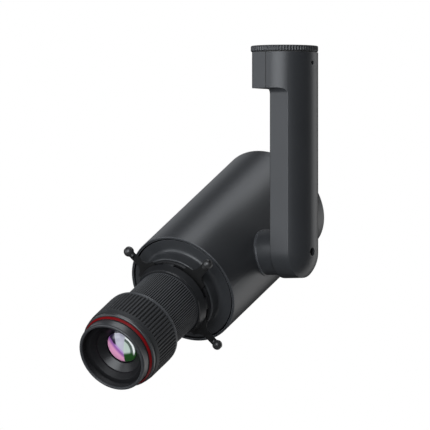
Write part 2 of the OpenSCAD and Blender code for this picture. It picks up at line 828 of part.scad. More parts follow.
// Hollow shaft with an inner flange and a side slot for the lead
module pivot_shaft() {
    color([0.6, 0.6, 0.62]) side_axis() difference() {
        union() {
            rod(shaft_r, saddle_z - flange_t, axis_offset + shaft_tip);
            rod(flange_r, saddle_z - flange_t, saddle_z);
        }
        rod(shaft_bore_d / 2, saddle_z - flange_t - cut, axis_offset + bore_end);
        translate([0, 0, axis_offset + slot_x]) lead_slot();
    }
}

// Sector that stays open above the pivot while the lamp tilts from level to straight down
module lead_slot() {
    level_angle = 90;
    down_angle = 0;
    rotate([0, 0, (level_angle + down_angle - lead_slot_angle) / 2])
        rotate_extrude(angle = lead_slot_angle)
            translate([shaft_bore_d / 4, 0]) square([shaft_d, lead_slot_w]);
}

// Saddle that spreads the shaft's load inside the tube
module saddle_block() {
    color([0.5, 0.5, 0.52]) side_axis() difference() {
        intersection() {
            rod(saddle_r, saddle_z, body_r);
            rotate([0, 90, 0]) cylinder(r = tube_r, h = 4 * saddle_r, center = true);
        }
        rod(shaft_r + run_gap, 0, axis_offset);
        for (side = [-1, 1]) translate([side * knuckle_screw_off, 0, 0])
            rod(knuckle_screw_r + 0.05, 0, body_r);
    }
}

// Screws from the saddle through the tube into the knuckle
module knuckle_screws() {
    color([0.5, 0.5, 0.52]) side_axis() for (side = [-1, 1])
        translate([side * knuckle_screw_off, 0, saddle_z])
            pan_screw(knuckle_screw_r - 0.02, body_r + 5.5 - saddle_z);
}

// Long round housing tube
module housing_tube() {
    chamfer = 0.7;
    color([0.15, 0.155, 0.16]) difference() {
        optics() rotate_extrude() polygon([
            [tube_r, -body_rear], [body_r - chamfer, -body_rear], [body_r, -body_rear + chamfer],
            [body_r, body_front - chamfer / 2], [body_r - chamfer / 2, body_front], [tube_r, body_front]
        ]);
        side_axis() rod(shaft_r + run_gap, 0, axis_offset);
        side_axis() for (side = [-1, 1]) translate([side * knuckle_screw_off, 0, 0])
            rod(knuckle_screw_r + 0.05, 0, axis_offset);
    }
}

// Vented cap at the rear end
module rear_cap() {
    vent_in = tube_r * 0.38;
    vent_out = tube_r * 0.7;
    color([0.15, 0.155, 0.16]) optics() difference() {
        rod(tube_r - seat_gap, cap_z, cap_z + rear_cap_t);
        for (i = [0 : vent_count - 1]) rotate([0, 0, (i + 0.5) * 360 / vent_count])
            translate([vent_in, -vent_w / 2, cap_z - cut])
                cube([vent_out - vent_in, vent_w, rear_cap_t + 2 * cut]);
        for (a = rod_angles) rotate([0, 0, a]) translate([rod_ring_r, 0, 0]) {
            rod(cap_screw_r + 0.1, cap_z - cut, cap_z + rear_cap_t + cut);
            frustum(2 * cap_screw_r + 0.25, cap_screw_r, cap_z - 0.1, cap_z + cap_screw_r + 0.15);
        }
    }
}

// Screws of the rear cap
module cap_screws() {
    color([0.2, 0.2, 0.2]) optics() for (a = rod_angles)
        rotate([0, 0, a]) translate([rod_ring_r, 0, cap_z]) mirror([0, 0, 1])
            countersunk_screw(cap_screw_r, rear_cap_t + 7);
}

// Three standoff rods between the rear cap and the heat sink
module tie_rods() {
    low = cap_z + rear_cap_t;
    color([0.7, 0.7, 0.72]) optics() for (a = rod_angles)
        rotate([0, 0, a]) translate([rod_ring_r, 0, 0]) difference() {
            rod(rod_r, low, sink_start);
            rod(cap_screw_r + 0.05, low - cut, low + 9);
        }
}

// Tray that clips to two rods and carries the driver
module driver_tray() {
    color([0.3, 0.3, 0.32]) optics() difference() {
        union() {
            translate([-tray_x, tray_y + rod_r, tray_low]) cube([2 * tray_x, tray_t, tray_len]);
            for (side = [-1, 1]) translate([side * tray_x, tray_y, 0])
                rod(rod_r + tray_t, tray_low, tray_low + tray_len);
            for (side = [-1, 1]) for (end = [3, tray_len - 7])
                translate([side * (board_half - 2) - 2, tray_y + rod_r, tray_low + end])
                    cube([4, board_y - tray_y - rod_r, 4]);
        }
        for (side = [-1, 1]) translate([side * tray_x, tray_y, 0])
            rod(rod_r + seat_gap, tray_low - cut, tray_low + tray_len + cut);
    }
}

// Circuit board of the driver
module driver_board() {
    color([0.1, 0.35, 0.2]) optics()
        translate([-board_half, board_y, tray_low]) cube([2 * board_half, board_t, tray_len]);
}

// Transformer, capacitors and terminal block on the driver board
module driver_parts() {
    capacitor_x = (transformer_w / 2 + board_half) / 2 - 0.5;
    color([0.25, 0.25, 0.27]) optics() {
        translate([-transformer_w / 2, board_top, tray_low + (tray_len - transformer_w) / 2])
            cube([transformer_w, transformer_h, transformer_w]);
        for (side = [-1, 1]) {
            translate([side * capacitor_x, board_top, tray_low + 2 * capacitor_r + 1]) rotate([-90, 0, 0])
                cylinder(r = capacitor_r, h = capacitor_h);
            terminal_z = tray_low + tray_len - terminal_len - 1;
            translate([side * (board_half - 8) - terminal_w / 2, board_top, terminal_z])
                cube([terminal_w, terminal_h, terminal_len]);
        }
    }
}

// Lead from the pivot shaft to the driver, and the lead from the driver to the light board
module body_leads() {
    entry_x = axis_offset + lead_x - lead_bend - 1.9;
    port_y = board_top + terminal_h / 2;
    port_z = tray_low + tray_len - 1;
    supply = [[entry_x, 0, 0], [entry_x - 8, 0, 0], [entry_x - 18, 0, 0], [saddle_z, 0, 0],
        [saddle_z - 5, 0, -0.6], [saddle_z - 9, 0.5 * port_y, -3], [saddle_z - 12.4, 0.8 * port_y, -8],
        [board_half - 6.6, 0.96 * port_y, -14], [board_half - 8, port_y, -18],
        [board_half - 8, port_y, port_z]];
    output = [[-board_half + 8, port_y, port_z], [-board_half + 8, port_y, port_z + 6],
        [-board_half + 6.6, 0.9 * port_y, -10], [-board_half + 4, 0.55 * port_y, 0],
        [-board_half + 3, 0.2 * port_y, 7], [wire_hole_x, 0, 13], [wire_hole_x, 0, sink_start],
        [wire_hole_x, 0, led_top]];
    color([0.12, 0.12, 0.12]) optics() {
        lead_sweep(supply, lead_r, [0, 1, 0.02]);
        lead_sweep(output, lead_r, [0, 1, 0.02]);
    }
}

// Heat sink pressed into the tube, with fins around the condenser
module heat_sink() {
    color([0.62, 0.63, 0.65]) optics() difference() {
        union() {
            rod(sink_r, sink_start, sink_top);
            for (i = [0 : sink_fins - 1]) rotate([0, 0, i * 360 / sink_fins])
                translate([fin_in_r, -fin_t / 2, sink_top - cut])
                    cube([fin_out_r - fin_in_r, fin_t, sink_fin_len + cut]);
        }
        translate([wire_hole_x, 0, 0]) rod(lead_r + 0.3, sink_start - cut, sink_top + cut);
    }
}

// Board that carries the light source
module led_board() {
    color([0.85, 0.86, 0.86]) optics() rod(led_board_d / 2, sink_top, led_top);
}

// Light-emitting surface
module led_emitter() {
    color([0.95, 0.85, 0.35]) optics() rod(emitter_d / 2, led_top, emitter_top);
}

// Holder that clamps the board to the heat sink
module led_holder() {
    recess_r = led_board_d / 2 + seat_gap;
    color([0.9, 0.9, 0.88]) optics() difference() {
        rod(holder_r, sink_top, led_top + holder_t);
        rod(recess_r, sink_top - cut, led_top);
        frustum(emitter_d / 2 + 0.3, emitter_d / 2 + 0.7 + 2 * holder_t, led_top - 0.1,
            led_top + holder_t + 0.1);
        translate([wire_hole_x, 0, 0]) rod(lead_r + 0.3, sink_top - cut, led_top + holder_t + cut);
    }
}

// Blackened barrel around the condenser lens
module condenser_barrel() {
    barrel_top = sink_top + sink_fin_len + barrel_rise;
    color([0.1, 0.1, 0.1]) optics() difference() {
        rod(barrel_out_r, sink_top, barrel_top);
        rod(barrel_in_r, condenser_seat, barrel_top + cut);
        rod(barrel_in_r - condenser_lip, led_top + holder_t, condenser_seat + cut);
        rod(barrel_in_r, sink_top - cut, led_top + holder_t + cut);
    }
}

// Plano-convex condenser lens with its flat side to the light source
module condenser_lens() {
    r = condenser_d / 2;
    sag = dip(condenser_radius, r);
    color([0.8, 0.87, 0.9, 0.5]) optics() intersection() {
        rod(r, condenser_seat, condenser_seat + condenser_edge + sag);
        translate([0, 0, condenser_seat + condenser_edge + sag - condenser_radius])
            sphere(r = condenser_radius);
    }
}

// Front bezel with the raised boss that the gate turns in
module front_bezel() {
    plate_r = tube_r - bezel_groove;
    color([0.17, 0.175, 0.18]) optics() rotate_extrude() difference() {
        union() {
            translate([spigot_bore_r, bezel_bottom]) square([plate_r - spigot_bore_r, bezel_t]);
            translate([tube_r - seat_gap - 2, bezel_bottom - bezel_skirt])
                square([2, bezel_skirt + 0.5]);
            translate([spigot_bore_r, bezel_bottom])
                square([boss_r_out - spigot_bore_r, boss_top - bezel_bottom]);
            difference() {
                translate([boss_r_out - 0.5, bezel_top - 0.1]) square([boss_fillet + 0.5, boss_fillet + 0.1]);
                translate([boss_r_out + boss_fillet, bezel_top + boss_fillet]) circle(r = boss_fillet);
            }
        }
        translate([0, bezel_bottom - cut]) square([spigot_bore_r, 2 * boss_h + bezel_t]);
    }
}

// Turning gate ring with its thin rim, aperture and spigot
module gate_ring() {
    inner_r = spigot_r - spigot_wall - thread_step;
    thin = 0.5;
    color([0.13, 0.13, 0.135]) optics() rotate([0, 0, gate_turn]) difference() {
        rotate_extrude() polygon([
            [aperture_r, gate_bottom], [inner_r, gate_bottom], [inner_r, spigot_end],
            [spigot_r - thread_step, spigot_end], [spigot_r - thread_step, bezel_bottom - face_gap],
            [spigot_r, bezel_bottom - face_gap], [spigot_r, gate_bottom],
            [rim_r - thin, gate_bottom], [rim_r, gate_bottom + thin], [rim_r, gate_bottom + 2 * thin],
            [rim_r - 2 * thin, gate_top], [aperture_r, gate_top]
        ]);
        for (i = [0 : 3]) rotate([0, 0, 45 + 90 * i]) translate([gate_screw_ring, 0, 0]) {
            rod(gate_screw_r + 0.05, gate_bottom - cut, gate_top + cut);
            frustum(2 * gate_screw_r + 0.15, gate_screw_r, gate_bottom - 0.1,
                gate_bottom + gate_screw_r + 0.05);
        }
    }
}

// Screws from the gate ring's rear face into the cover's posts
module gate_screws() {
    color([0.2, 0.2, 0.2]) optics() rotate([0, 0, gate_turn]) for (i = [0 : 3])
        rotate([0, 0, 45 + 90 * i]) translate([gate_screw_ring, 0, gate_bottom]) mirror([0, 0, 1])
            countersunk_screw(gate_screw_r, gate_screw_end - gate_bottom);
}

// Threaded ring that holds the gate in the bezel
module gate_retainer() {
    top = bezel_bottom - face_gap;
    color([0.3, 0.3, 0.31]) optics()
        pipe(retainer_r, spigot_r - thread_step + 0.02, top - retainer_t, top);
}

// Plane of one shutter blade along the optical axis
function blade_z(i) = blade_start + i * blade_pitch;

// Thin rings between the shutter blades
module blade_spacers() {
    color([0.6, 0.6, 0.6]) optics() for (i = [0 : 2])
        pipe(post_in_r - 0.3, aperture_r + 0.8, blade_z(i) + blade_t + blade_gap,
            blade_z(i) + blade_t + blade_gap + spacer_t);
}

// Cover over the blades, with four posts between the shutter slots
module gate_cover() {
    color([0.13, 0.13, 0.135]) optics() rotate([0, 0, gate_turn]) difference() {
        union() {
            frustum(cover_base_d / 2, cover_nose_d / 2, stack_top, cone_top);
            for (i = [0 : 3]) rotate([0, 0, 45 + 90 * i - post_half_angle])
                translate([0, 0, gate_top]) rotate_extrude(angle = 2 * post_half_angle)
                    translate([post_in_r, 0]) square([post_out_r - post_in_r, stack_top - gate_top + 0.2]);
        }
        rod(aperture_r + 1.2, stack_top - cut, cone_top + cut);
        for (i = [0 : 3]) rotate([0, 0, 45 + 90 * i]) translate([gate_screw_ring, 0, 0])
            rod(gate_screw_r + 0.05, gate_top - cut, gate_screw_end + 0.2);
    }
}

// Outline of a shutter blade: a wide plate that runs into a narrow stem
module blade_outline() {
    flare = (blade_w - stem_w) / 2;
    translate([blade_tip, -blade_w / 2]) square([blade_shoulder - blade_tip, blade_w]);
    translate([blade_shoulder - cut, -stem_w / 2]) square([stem_end - blade_shoulder + cut, stem_w]);
    for (side = [-1, 1]) difference() {
        translate([blade_shoulder - 0.01, side > 0 ? stem_w / 2 - 0.01 : -blade_w / 2])
            square([flare, flare + 0.01]);
        translate([blade_shoulder + flare, side * blade_w / 2]) circle(r = flare);
    }
}

// One framing shutter blade, counted from the upper right
module shutter_blade(i) {
    color([0.12, 0.12, 0.125]) optics() rotate([0, 0, gate_turn + 90 * i])
        translate([0, 0, blade_z(i)]) linear_extrude(height = blade_t) blade_outline();
}

// Ball knob on a shutter stem, with a slot for the stem and a recess in its end
module shutter_knob(i) {
    mid = blade_z(i) + blade_t / 2;
    color([0.1, 0.1, 0.1]) optics() rotate([0, 0, gate_turn + 90 * i]) difference() {
        union() {
            translate([knob_reach, 0, mid]) sphere(r = knob_r);
            translate([knob_reach - knob_r - 0.9, 0, mid])
                rotate([0, 90, 0]) cylinder(r = knob_r * 0.62, h = knob_r);
        }
        translate([0, -stem_w / 2 - 0.02, mid - blade_t / 2 - 0.02])
            cube([stem_end + 0.02, stem_w + 0.04, blade_t + 0.04]);
        translate([knob_reach + knob_r - 0.9, 0, mid])
            rotate([0, 90, 0]) cylinder(r = knob_r * 0.36, h = knob_r);
    }
}

// Lens tube with its flange, pin slots and inner bore
module lens_tube() {
    slot_half = zoom_travel + pin_r + 0.3;
    color([0.13, 0.13, 0.135]) optics() rotate([0, 0, gate_turn]) difference() {
        union() {
            rod(lens_flange_d / 2, cone_top, flange_top);
            rod(tube_out_r, cone_top, tube_end);
        }
        rod(tube_in_r, cone_top - cut, tube_end + cut);
        for (side = [0, 180]) rotate([0, 0, side]) {
            for (end = [-1, 1]) translate([tube_out_r, 0, carriage_mid + end * (slot_half - pin_r)])
                rotate([0, 90, 0]) cylinder(r = pin_r + 0.15, h = 4 * lens_tube_wall, center = true);
            translate([tube_in_r - 1, -pin_r - 0.15, carriage_mid - slot_half + pin_r])
                cube([2 * lens_tube_wall, pin_d + 0.3, 2 * (slot_half - pin_r)]);
        }
    }
}

// Fine-ribbed zoom ring with a recess for the guide pins
module zoom_ring() {
    edge = 1;
    recess_low = carriage_mid - zoom_travel - pin_r - 1;
    recess_high = min(carriage_mid + zoom_travel + pin_r + 1, zoom_end - 1);
    color([0.12, 0.12, 0.125]) optics() difference() {
        union() {
            ribbed(zoom_ring_r, zoom_rib_depth, zoom_ribs, zoom_start, zoom_end - edge);
            rod(zoom_ring_r - zoom_rib_depth, zoom_start, zoom_end);
        }
        rod(tube_out_r + run_gap, zoom_start - cut, zoom_end + cut);
        rod(zoom_recess_r, recess_low, recess_high);
    }
}

// Sliding carriage of the zoom lens
module zoom_carriage() {
    low = carriage_mid - carriage_len / 2;
    high = carriage_mid + carriage_len / 2;
    color([0.2, 0.2, 0.21]) optics() rotate([0, 0, gate_turn]) difference() {
        rod(carriage_r, low, high);
        rod(zoom_lens_r + seat_gap, low + zoom_lens_lip, high + cut);
        rod(zoom_lens_r - zoom_lens_lip, low - cut, high);
        for (side = [0, 180]) rotate([0, 0, side]) translate([zoom_lens_r + 1, 0, carriage_mid])
            rotate([0, 90, 0]) cylinder(r = pin_r, h = tube_out_r);
    }
}

// Double-convex zoom lens
module zoom_lens() {
    sag = dip(zoom_lens_radius, zoom_lens_r);
    bulge = sag - dip(zoom_lens_radius, zoom_lens_r - zoom_lens_lip);
    rim = carriage_mid - carriage_len / 2 + zoom_lens_lip + bulge + 0.02;
    color([0.8, 0.87, 0.9, 0.5]) optics() intersection() {
        rod(zoom_lens_r, rim - sag, rim + zoom_lens_edge + sag);
        translate([0, 0, rim + zoom_lens_radius - sag]) sphere(r = zoom_lens_radius);
        translate([0, 0, rim + zoom_lens_edge - zoom_lens_radius + sag]) sphere(r = zoom_lens_radius);
    }
}

// Guide pins through the lens tube into the zoom ring
module zoom_pins() {
    color([0.7, 0.7, 0.72]) optics() rotate([0, 0, gate_turn]) for (side = [0, 180])
        rotate([0, 0, side]) translate([zoom_lens_r + 1, 0, carriage_mid])
            rotate([0, 90, 0]) cylinder(r = pin_r, h = zoom_recess_r - zoom_lens_r - 1.3);
}

// Front barrel that slides on the lens tube and holds the front lens
module front_barrel() {
    sleeve_in = tube_out_r + run_gap;
    color([0.25, 0.25, 0.26]) optics() rotate([0, 0, gate_turn]) rotate_extrude() polygon([
        [sleeve_in, sleeve_start], [barrel_r, sleeve_start], [barrel_r, ridge_start],
        [ridge_d / 2, ridge_start], [ridge_d / 2, ridge_end - 0.5], [ridge_d / 2 - 0.5, ridge_end],
        [cone_out_r + seat_gap, ridge_end], [cone_out_r + seat_gap, cone_foot_z],
        [cell_r, cone_foot_z], [cell_r, cell_start + cell_lip],
        [cell_r - cell_lip, cell_start + cell_lip], [cell_r - cell_lip, cell_start],
        [sleeve_in, cell_start]
    ]);
}

// Ring with an inner cone that holds the front lens
module lens_cone() {
    color([0.42, 0.42, 0.43]) optics() rotate_extrude() polygon([
        [lens_opening_d / 2, cone_small_z], [lens_opening_d / 2, cone_small_z - cone_edge],
        [cone_foot_r, cone_foot_z], [cone_out_r, cone_foot_z],
        [cone_out_r, ridge_end], [hood_throat_r - 0.1, ridge_end]
    ]);
}

// Double-convex front lens
module front_lens() {
    color([0.75, 0.65, 0.85, 0.5]) optics() intersection() {
        rod(front_lens_r, lens_back, lens_apex);
        translate([0, 0, lens_apex - front_lens_radius]) sphere(r = front_lens_radius);
        translate([0, 0, lens_back + front_lens_back]) sphere(r = front_lens_back);
    }
}

// Red ring around the neck of the hood
module red_ring() {
    chamfer = 0.3;
    bore_r = hood_neck_r + 0.02;
    color([0.5, 0.03, 0.05]) optics() rotate_extrude() polygon([
        [bore_r, red_start + 0.02], [red_ring_d / 2 - chamfer, red_start + 0.02],
        [red_ring_d / 2, red_start + chamfer], [hood_back_d / 2 + 0.2, hood_start - chamfer],
        [hood_back_d / 2 - 0.1, hood_start - 0.02], [bore_r, hood_start - 0.02]
    ]);
}

// Hood with a threaded mouth and a stepped throat
module hood() {
    mouth_r = hood_mouth_d / 2;
    thread = 0.35;
    turns = 5;
    pitch = (hood_end - 1 - hood_step_z) / turns;
    inner = [for (i = [0 : turns - 1]) each [
        [mouth_r, hood_step_z + i * pitch],
        [mouth_r - thread, hood_step_z + (i + 0.5) * pitch]
    ]];
    outer_r = hood_back_d / 2;
    color([0.3, 0.3, 0.31]) optics() rotate_extrude() polygon(concat(
        [[hood_throat_r, red_start + 0.02], [hood_step_r, hood_step_z]],
        inner,
        [
            [mouth_r, hood_end - 1], [mouth_r + 0.6, hood_end], [hood_front_d / 2 - 0.8, hood_end],
            [hood_front_d / 2, hood_end - 1.2], [outer_r, hood_end - 2.4], [outer_r, hood_start],
            [hood_neck_r, hood_start], [hood_neck_r, red_start + 0.02]
        ]
    ));
}

// Coarse-ribbed focus ring with smooth bands at both ends
module focus_ring() {
    rib_low = focus_start + focus_shoulder;
    rib_high = focus_end - focus_band;
    root = focus_r - focus_rib_depth;
    color([0.12, 0.12, 0.125]) optics() difference() {
        union() {
            ribbed(focus_r, focus_rib_depth, focus_ribs, rib_low, rib_high);
            rotate_extrude() polygon([
                [0, focus_start], [focus_r - 1.4, focus_start], [focus_r - 0.2, focus_start + 0.9],
                [focus_r - 0.2, rib_low], [root, rib_low + 0.4], [root, rib_high - 0.4],
                [focus_r - 0.2, rib_high], [focus_r - 0.4, focus_end - 0.5], [focus_r - 0.9, focus_end],
                [0, focus_end]
            ]);
        }
        rod(barrel_r + run_gap, focus_start - cut, focus_end + cut);
    }
}

top_disc();
pan_spindle();
pan_friction_washer();
pan_disc_spring();
spindle_nut();
arm_shell();
head_block();
arm_cover();
cover_screws();
head_screws();
pan_lock_screw();
tilt_lock_screw();
lock_pad();
arm_lead();
knuckle();
tilt_friction_washer();
tilt_disc_spring();
tilt_nut();
pivot_shaft();
saddle_block();
knuckle_screws();
housing_tube();
rear_cap();
cap_screws();
tie_rods();
driver_tray();
driver_board();
driver_parts();
body_leads();
heat_sink();
led_board();
led_emitter();
led_holder();
condenser_barrel();
condenser_lens();
front_bezel();
gate_ring();
gate_retainer();
blade_spacers();
gate_cover();
gate_screws();
lens_tube();
shutter_blade(0);  // shutter_blade_1
shutter_blade(1);  // shutter_blade_2
shutter_blade(2);  // shutter_blade_3
shutter_blade(3);  // shutter_blade_4
shutter_knob(0);  // shutter_knob_1
shutter_knob(1);  // shutter_knob_2
shutter_knob(2);  // shutter_knob_3
shutter_knob(3);  // shutter_knob_4
zoom_ring();
zoom_carriage();
zoom_lens();
zoom_pins();
front_barrel();
lens_cone();
front_lens();
red_ring();
hood();
focus_ring();
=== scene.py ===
"""Looks of the framing spotlight: finishes, ribbed grips, threaded hood, coated lens, studio and camera.

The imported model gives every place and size. Surfaces that turn round the optical axis are worked out here
as grids in the axis's own coordinates: x along the tilt pivot, y across it and s along the axis.
"""
import json
import math
import bpy
import numpy as np
from mathutils import Matrix, Vector


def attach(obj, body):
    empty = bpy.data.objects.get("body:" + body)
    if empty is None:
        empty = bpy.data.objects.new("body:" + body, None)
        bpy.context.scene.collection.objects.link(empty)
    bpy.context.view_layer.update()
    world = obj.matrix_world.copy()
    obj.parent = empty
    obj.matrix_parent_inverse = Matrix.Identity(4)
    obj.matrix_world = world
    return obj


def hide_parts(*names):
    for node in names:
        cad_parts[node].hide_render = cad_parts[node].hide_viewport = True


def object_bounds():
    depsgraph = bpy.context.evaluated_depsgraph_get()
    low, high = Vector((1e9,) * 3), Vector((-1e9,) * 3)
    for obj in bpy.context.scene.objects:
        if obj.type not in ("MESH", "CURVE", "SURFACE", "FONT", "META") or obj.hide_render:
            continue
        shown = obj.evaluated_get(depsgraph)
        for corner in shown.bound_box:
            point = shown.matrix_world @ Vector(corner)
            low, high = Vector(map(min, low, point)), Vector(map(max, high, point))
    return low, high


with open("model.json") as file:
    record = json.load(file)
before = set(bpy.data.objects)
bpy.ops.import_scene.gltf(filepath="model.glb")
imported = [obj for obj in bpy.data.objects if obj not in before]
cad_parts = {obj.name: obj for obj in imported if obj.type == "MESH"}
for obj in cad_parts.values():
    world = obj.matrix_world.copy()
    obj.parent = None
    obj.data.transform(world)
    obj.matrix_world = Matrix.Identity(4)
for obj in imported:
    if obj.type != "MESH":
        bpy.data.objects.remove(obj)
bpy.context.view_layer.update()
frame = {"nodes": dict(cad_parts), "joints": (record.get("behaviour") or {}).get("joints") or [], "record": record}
MM = 0.001
SHARP_ANGLE = math.radians(35)

# Axes of the model, read from its joints
joints = {j["name"]: j for j in frame["joints"]}
pivot = np.array(joints["tilt"]["pos_m"])
optic_origin = np.array(joints["gate_turn"]["pos_m"])
along = np.array(joints["gate_turn"]["axis"])
sideways = np.array([1.0, 0.0, 0.0])
across = np.cross(along, sideways)

# Camera: the photograph is a parallel view of 430 pixels
PHOTO_PX = 430
MM_PER_PX = 0.729
CAMERA_AZIMUTH = math.radians(34.5)
CAMERA_ELEVATION = math.radians(-1.8)
PIVOT_PX = (284.5, 252.3)
LENS_MM = 1000.0
SENSOR_MM = 36.0

# Studio lamps, all a little cool: name, direction from the object, distance, width and height, watts
LAMP_TINT = (0.92, 0.955, 1.0)
LAMPS = (
    ("key", (0.23, -1.0, 0.22), 2.3, (1.8, 1.7), 59),
    ("front", (-0.62, -0.78, 0.05), 2.4, (1.2, 2.0), 20.3),
    ("back", (-0.66, 0.60, 0.42), 2.6, (0.9, 1.2), 2.4),
    ("top", (-0.02, 0.29, 0.96), 2.2, (1.2, 1.0), 11),
    ("rim", (0.45, 0.9, -0.05), 2.6, (0.8, 1.6), 2.5),
)


def node_points(node):
    """Vertices of a CAD node, one row each, in metres."""
    mesh = frame["nodes"][node].data
    flat = np.zeros(len(mesh.vertices) * 3, np.float32)
    mesh.vertices.foreach_get("co", flat)
    return flat.reshape(-1, 3).astype(float)


def optic_reach(node):
    """Lowest and highest s, and least and greatest radius, of a CAD node about the optical axis."""
    rel = node_points(node) - optic_origin
    s = rel @ along
    radius = np.hypot(rel @ sideways, rel @ across)
    return s.min(), s.max(), radius.min(), radius.max()


def optic_place(x, y, s):
    """Points of the optical axis's own coordinates, as points of the model."""
    return (
        optic_origin
        + np.multiply.outer(x, sideways)
        + np.multiply.outer(y, across)
        + np.multiply.outer(s, along)
    )


def upright_place(x, y, s):
    """Points about the vertical pan axis, with s as the height."""
    return np.stack([x, y, s], axis=-1)


def rounded(corners, steps=5):
    """A closed outline whose corners (r, s, fillet) become arcs: each arc's points are blended from the
    two tangent points and the corner as a quadratic curve, which runs smoothly into both sides."""
    points = []
    for i, (r, s, fillet) in enumerate(corners):
        here = np.array([r, s])
        if fillet == 0:
            points.append(here)
            continue
        before = np.array(corners[i - 1][:2]) - here
        after = np.array(corners[(i + 1) % len(corners)][:2]) - here
        start = here + before / np.linalg.norm(before) * fillet
        end = here + after / np.linalg.norm(after) * fillet
        t = np.linspace(0, 1, steps + 1)[:, None]
        points.extend((1 - t) ** 2 * start + 2 * t * (1 - t) * here + t ** 2 * end)
    return np.array(points)


def with_rows(outline, longest, wall=None, finest=None):
    """The closed outline with extra points, so that no side is longer than the given length. Sides on a
    wall of the given radius get the finest length instead."""
    rows = []
    for a, b in zip(outline, np.roll(outline, -1, axis=0)):
        on_wall = wall is not None and np.allclose([a[0], b[0]], wall)
        parts = max(1, math.ceil(np.linalg.norm(b - a) / (finest if on_wall else longest)))
        rows.extend(a + (b - a) * np.arange(parts)[:, None] / parts)
    return np.array(rows)


def ring_mesh(name, points, finishes, inside=None):
    """A closed ring from a grid of points (turn, outline, xyz) that joins itself in both directions.
    Rows that the inside mask marks get the second of the finishes."""
    turns, rows = points.shape[:2]
    i, j = np.meshgrid(np.arange(turns), np.arange(rows), indexing="ij")
    nxt = (i + 1) % turns
    up = (j + 1) % rows
    quads = np.stack([i * rows + j, nxt * rows + j, nxt * rows + up, i * rows + up], axis=-1)
    second = None if inside is None else np.broadcast_to(inside, (turns, rows)).ravel()
    return solid(name, points.reshape(-1, 3), quads.reshape(-1, 4).tolist(), finishes, second)


def lathe_mesh(name, profile, place, turns, finishes, second_rows=0):
    """A solid of revolution from a profile (radius, s) that starts and ends on the axis: the rows
    between are a grid of circles, and each end closes on one pole with a fan. Faces whose first row
    lies below second_rows get the second of the finishes."""
    rows = len(profile) - 2
    turn = 2 * np.pi * np.arange(turns)[:, None] / turns
    radius = profile[None, 1:-1, 0]
    height = np.broadcast_to(profile[None, 1:-1, 1], (turns, rows))
    sides = place(radius * np.cos(turn), radius * np.sin(turn), height).reshape(-1, 3)
    zero = np.zeros(2)
    poles = place(zero, zero, profile[[0, -1], 1])
    start, end = turns * rows, turns * rows + 1
    i, j = np.meshgrid(np.arange(turns), np.arange(rows - 1), indexing="ij")
    nxt = (i + 1) % turns
    quads = np.stack([i * rows + j, nxt * rows + j, nxt * rows + j + 1, i * rows + j + 1], axis=-1)
    ring = np.arange(turns)
    after = (ring + 1) % turns
    first_fan = np.stack([0 * ring + start, after * rows, ring * rows], axis=-1)
    last_fan = np.stack([ring * rows + rows - 1, after * rows + rows - 1, 0 * ring + end], axis=-1)
    faces = quads.reshape(-1, 4).tolist() + first_fan.tolist() + last_fan.tolist()
    second = None
    if second_rows:
        second = np.concatenate([(j < second_rows).ravel(), ring >= 0, ring < 0])
    return solid(name, np.concatenate([sides, poles]), faces, finishes, second)


def solid(name, points, faces, finishes, second=None):
    """A mesh object from points and faces, smooth but for its sharper edges. The second mask says which
    faces get the second of the finishes."""
    mesh = bpy.data.meshes.new(name)
    mesh.from_pydata(points.tolist(), [], faces)
    mesh.update()
    mesh.shade_smooth()
    mesh.set_sharp_from_angle(angle=SHARP_ANGLE)
    for finish in finishes:
        mesh.materials.append(finish)
    if second is not None:
        mesh.polygons.foreach_set("material_index", second.astype(np.int32))
    made = bpy.data.objects.new(name, mesh)
    bpy.context.scene.collection.objects.link(made)
    return made


def smooth_step(x):
    """0 below 0, 1 above 1 and a smooth rise between."""
    x = np.clip(x, 0, 1)
    return x * x * (3 - 2 * x)


def rib_wave(turn, count, sharpness, fullness):
    """1 on the crest of each of count ribs and 0 in the grooves, with round shoulders. It is the wave
    tanh(sharpness (cos(count turn) + fullness)), scaled to run from 0 to 1."""
    top = math.tanh(sharpness * (fullness + 1))
    bottom = math.tanh(sharpness * (fullness - 1))
    return (np.tanh(sharpness * (np.cos(count * turn) + fullness)) - bottom) / (top - bottom)


def turned_ring(name, outline, place, turns, finishes, carve=None, inside=None):
    """A ring turned from a closed outline (radius, s): x = radius cos(turn), y = radius sin(turn). The
    carve function gives, from the turn and the outline, how far each point moves out."""
    turn = 2 * np.pi * np.arange(turns)[:, None] / turns
    radius = outline[None, :, 0] + (carve(turn, outline) if carve else 0 * turn)
    height = np.broadcast_to(outline[:, 1], radius.shape)
    return ring_mesh(name, place(radius * np.cos(turn), radius * np.sin(turn), height), finishes, inside)


def straight_ribs(count, depth, low, high, floor, sharpness=2.0, fullness=0.0):
    """Carving of straight ribs: between low and high, the wall outside the floor radius sinks by the
    depth in the grooves between count ribs, and the grooves run out smoothly at both ends."""
    def carve(turn, outline):
        run_out = 1.6 * depth
        s = outline[:, 1]
        ends = smooth_step((s - low) / run_out) * smooth_step((high - s) / run_out)
        sunk = 1 - rib_wave(turn, count, sharpness, fullness)
        return -depth * sunk * ends * (outline[:, 0] > floor)
    return carve


def inner_thread(pitch, depth, low, high, ceiling):
    """Carving of a screw thread: between low and high, the wall inside the ceiling radius rises by the
    depth on a crest that climbs one pitch a turn, as the wave cos(2 pi s / pitch - turn)."""
    def carve(turn, outline):
        s = outline[:, 1]
        ends = smooth_step((s - low) / pitch) * smooth_step((high - s) / pitch)
        wave = 0.5 - 0.5 * np.cos(2 * np.pi * s / pitch - turn)
        return -depth * wave * ends * (outline[:, 0] < ceiling)
    return carve


def stands_for(piece, node):
    """Lets a new piece replace a CAD node on that node's own body."""
    body = next(b for b, members in frame["record"]["behaviour"]["bodies"].items() if node in members)
    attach(piece, body)
    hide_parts(node)
    return piece


FINISHES = {}


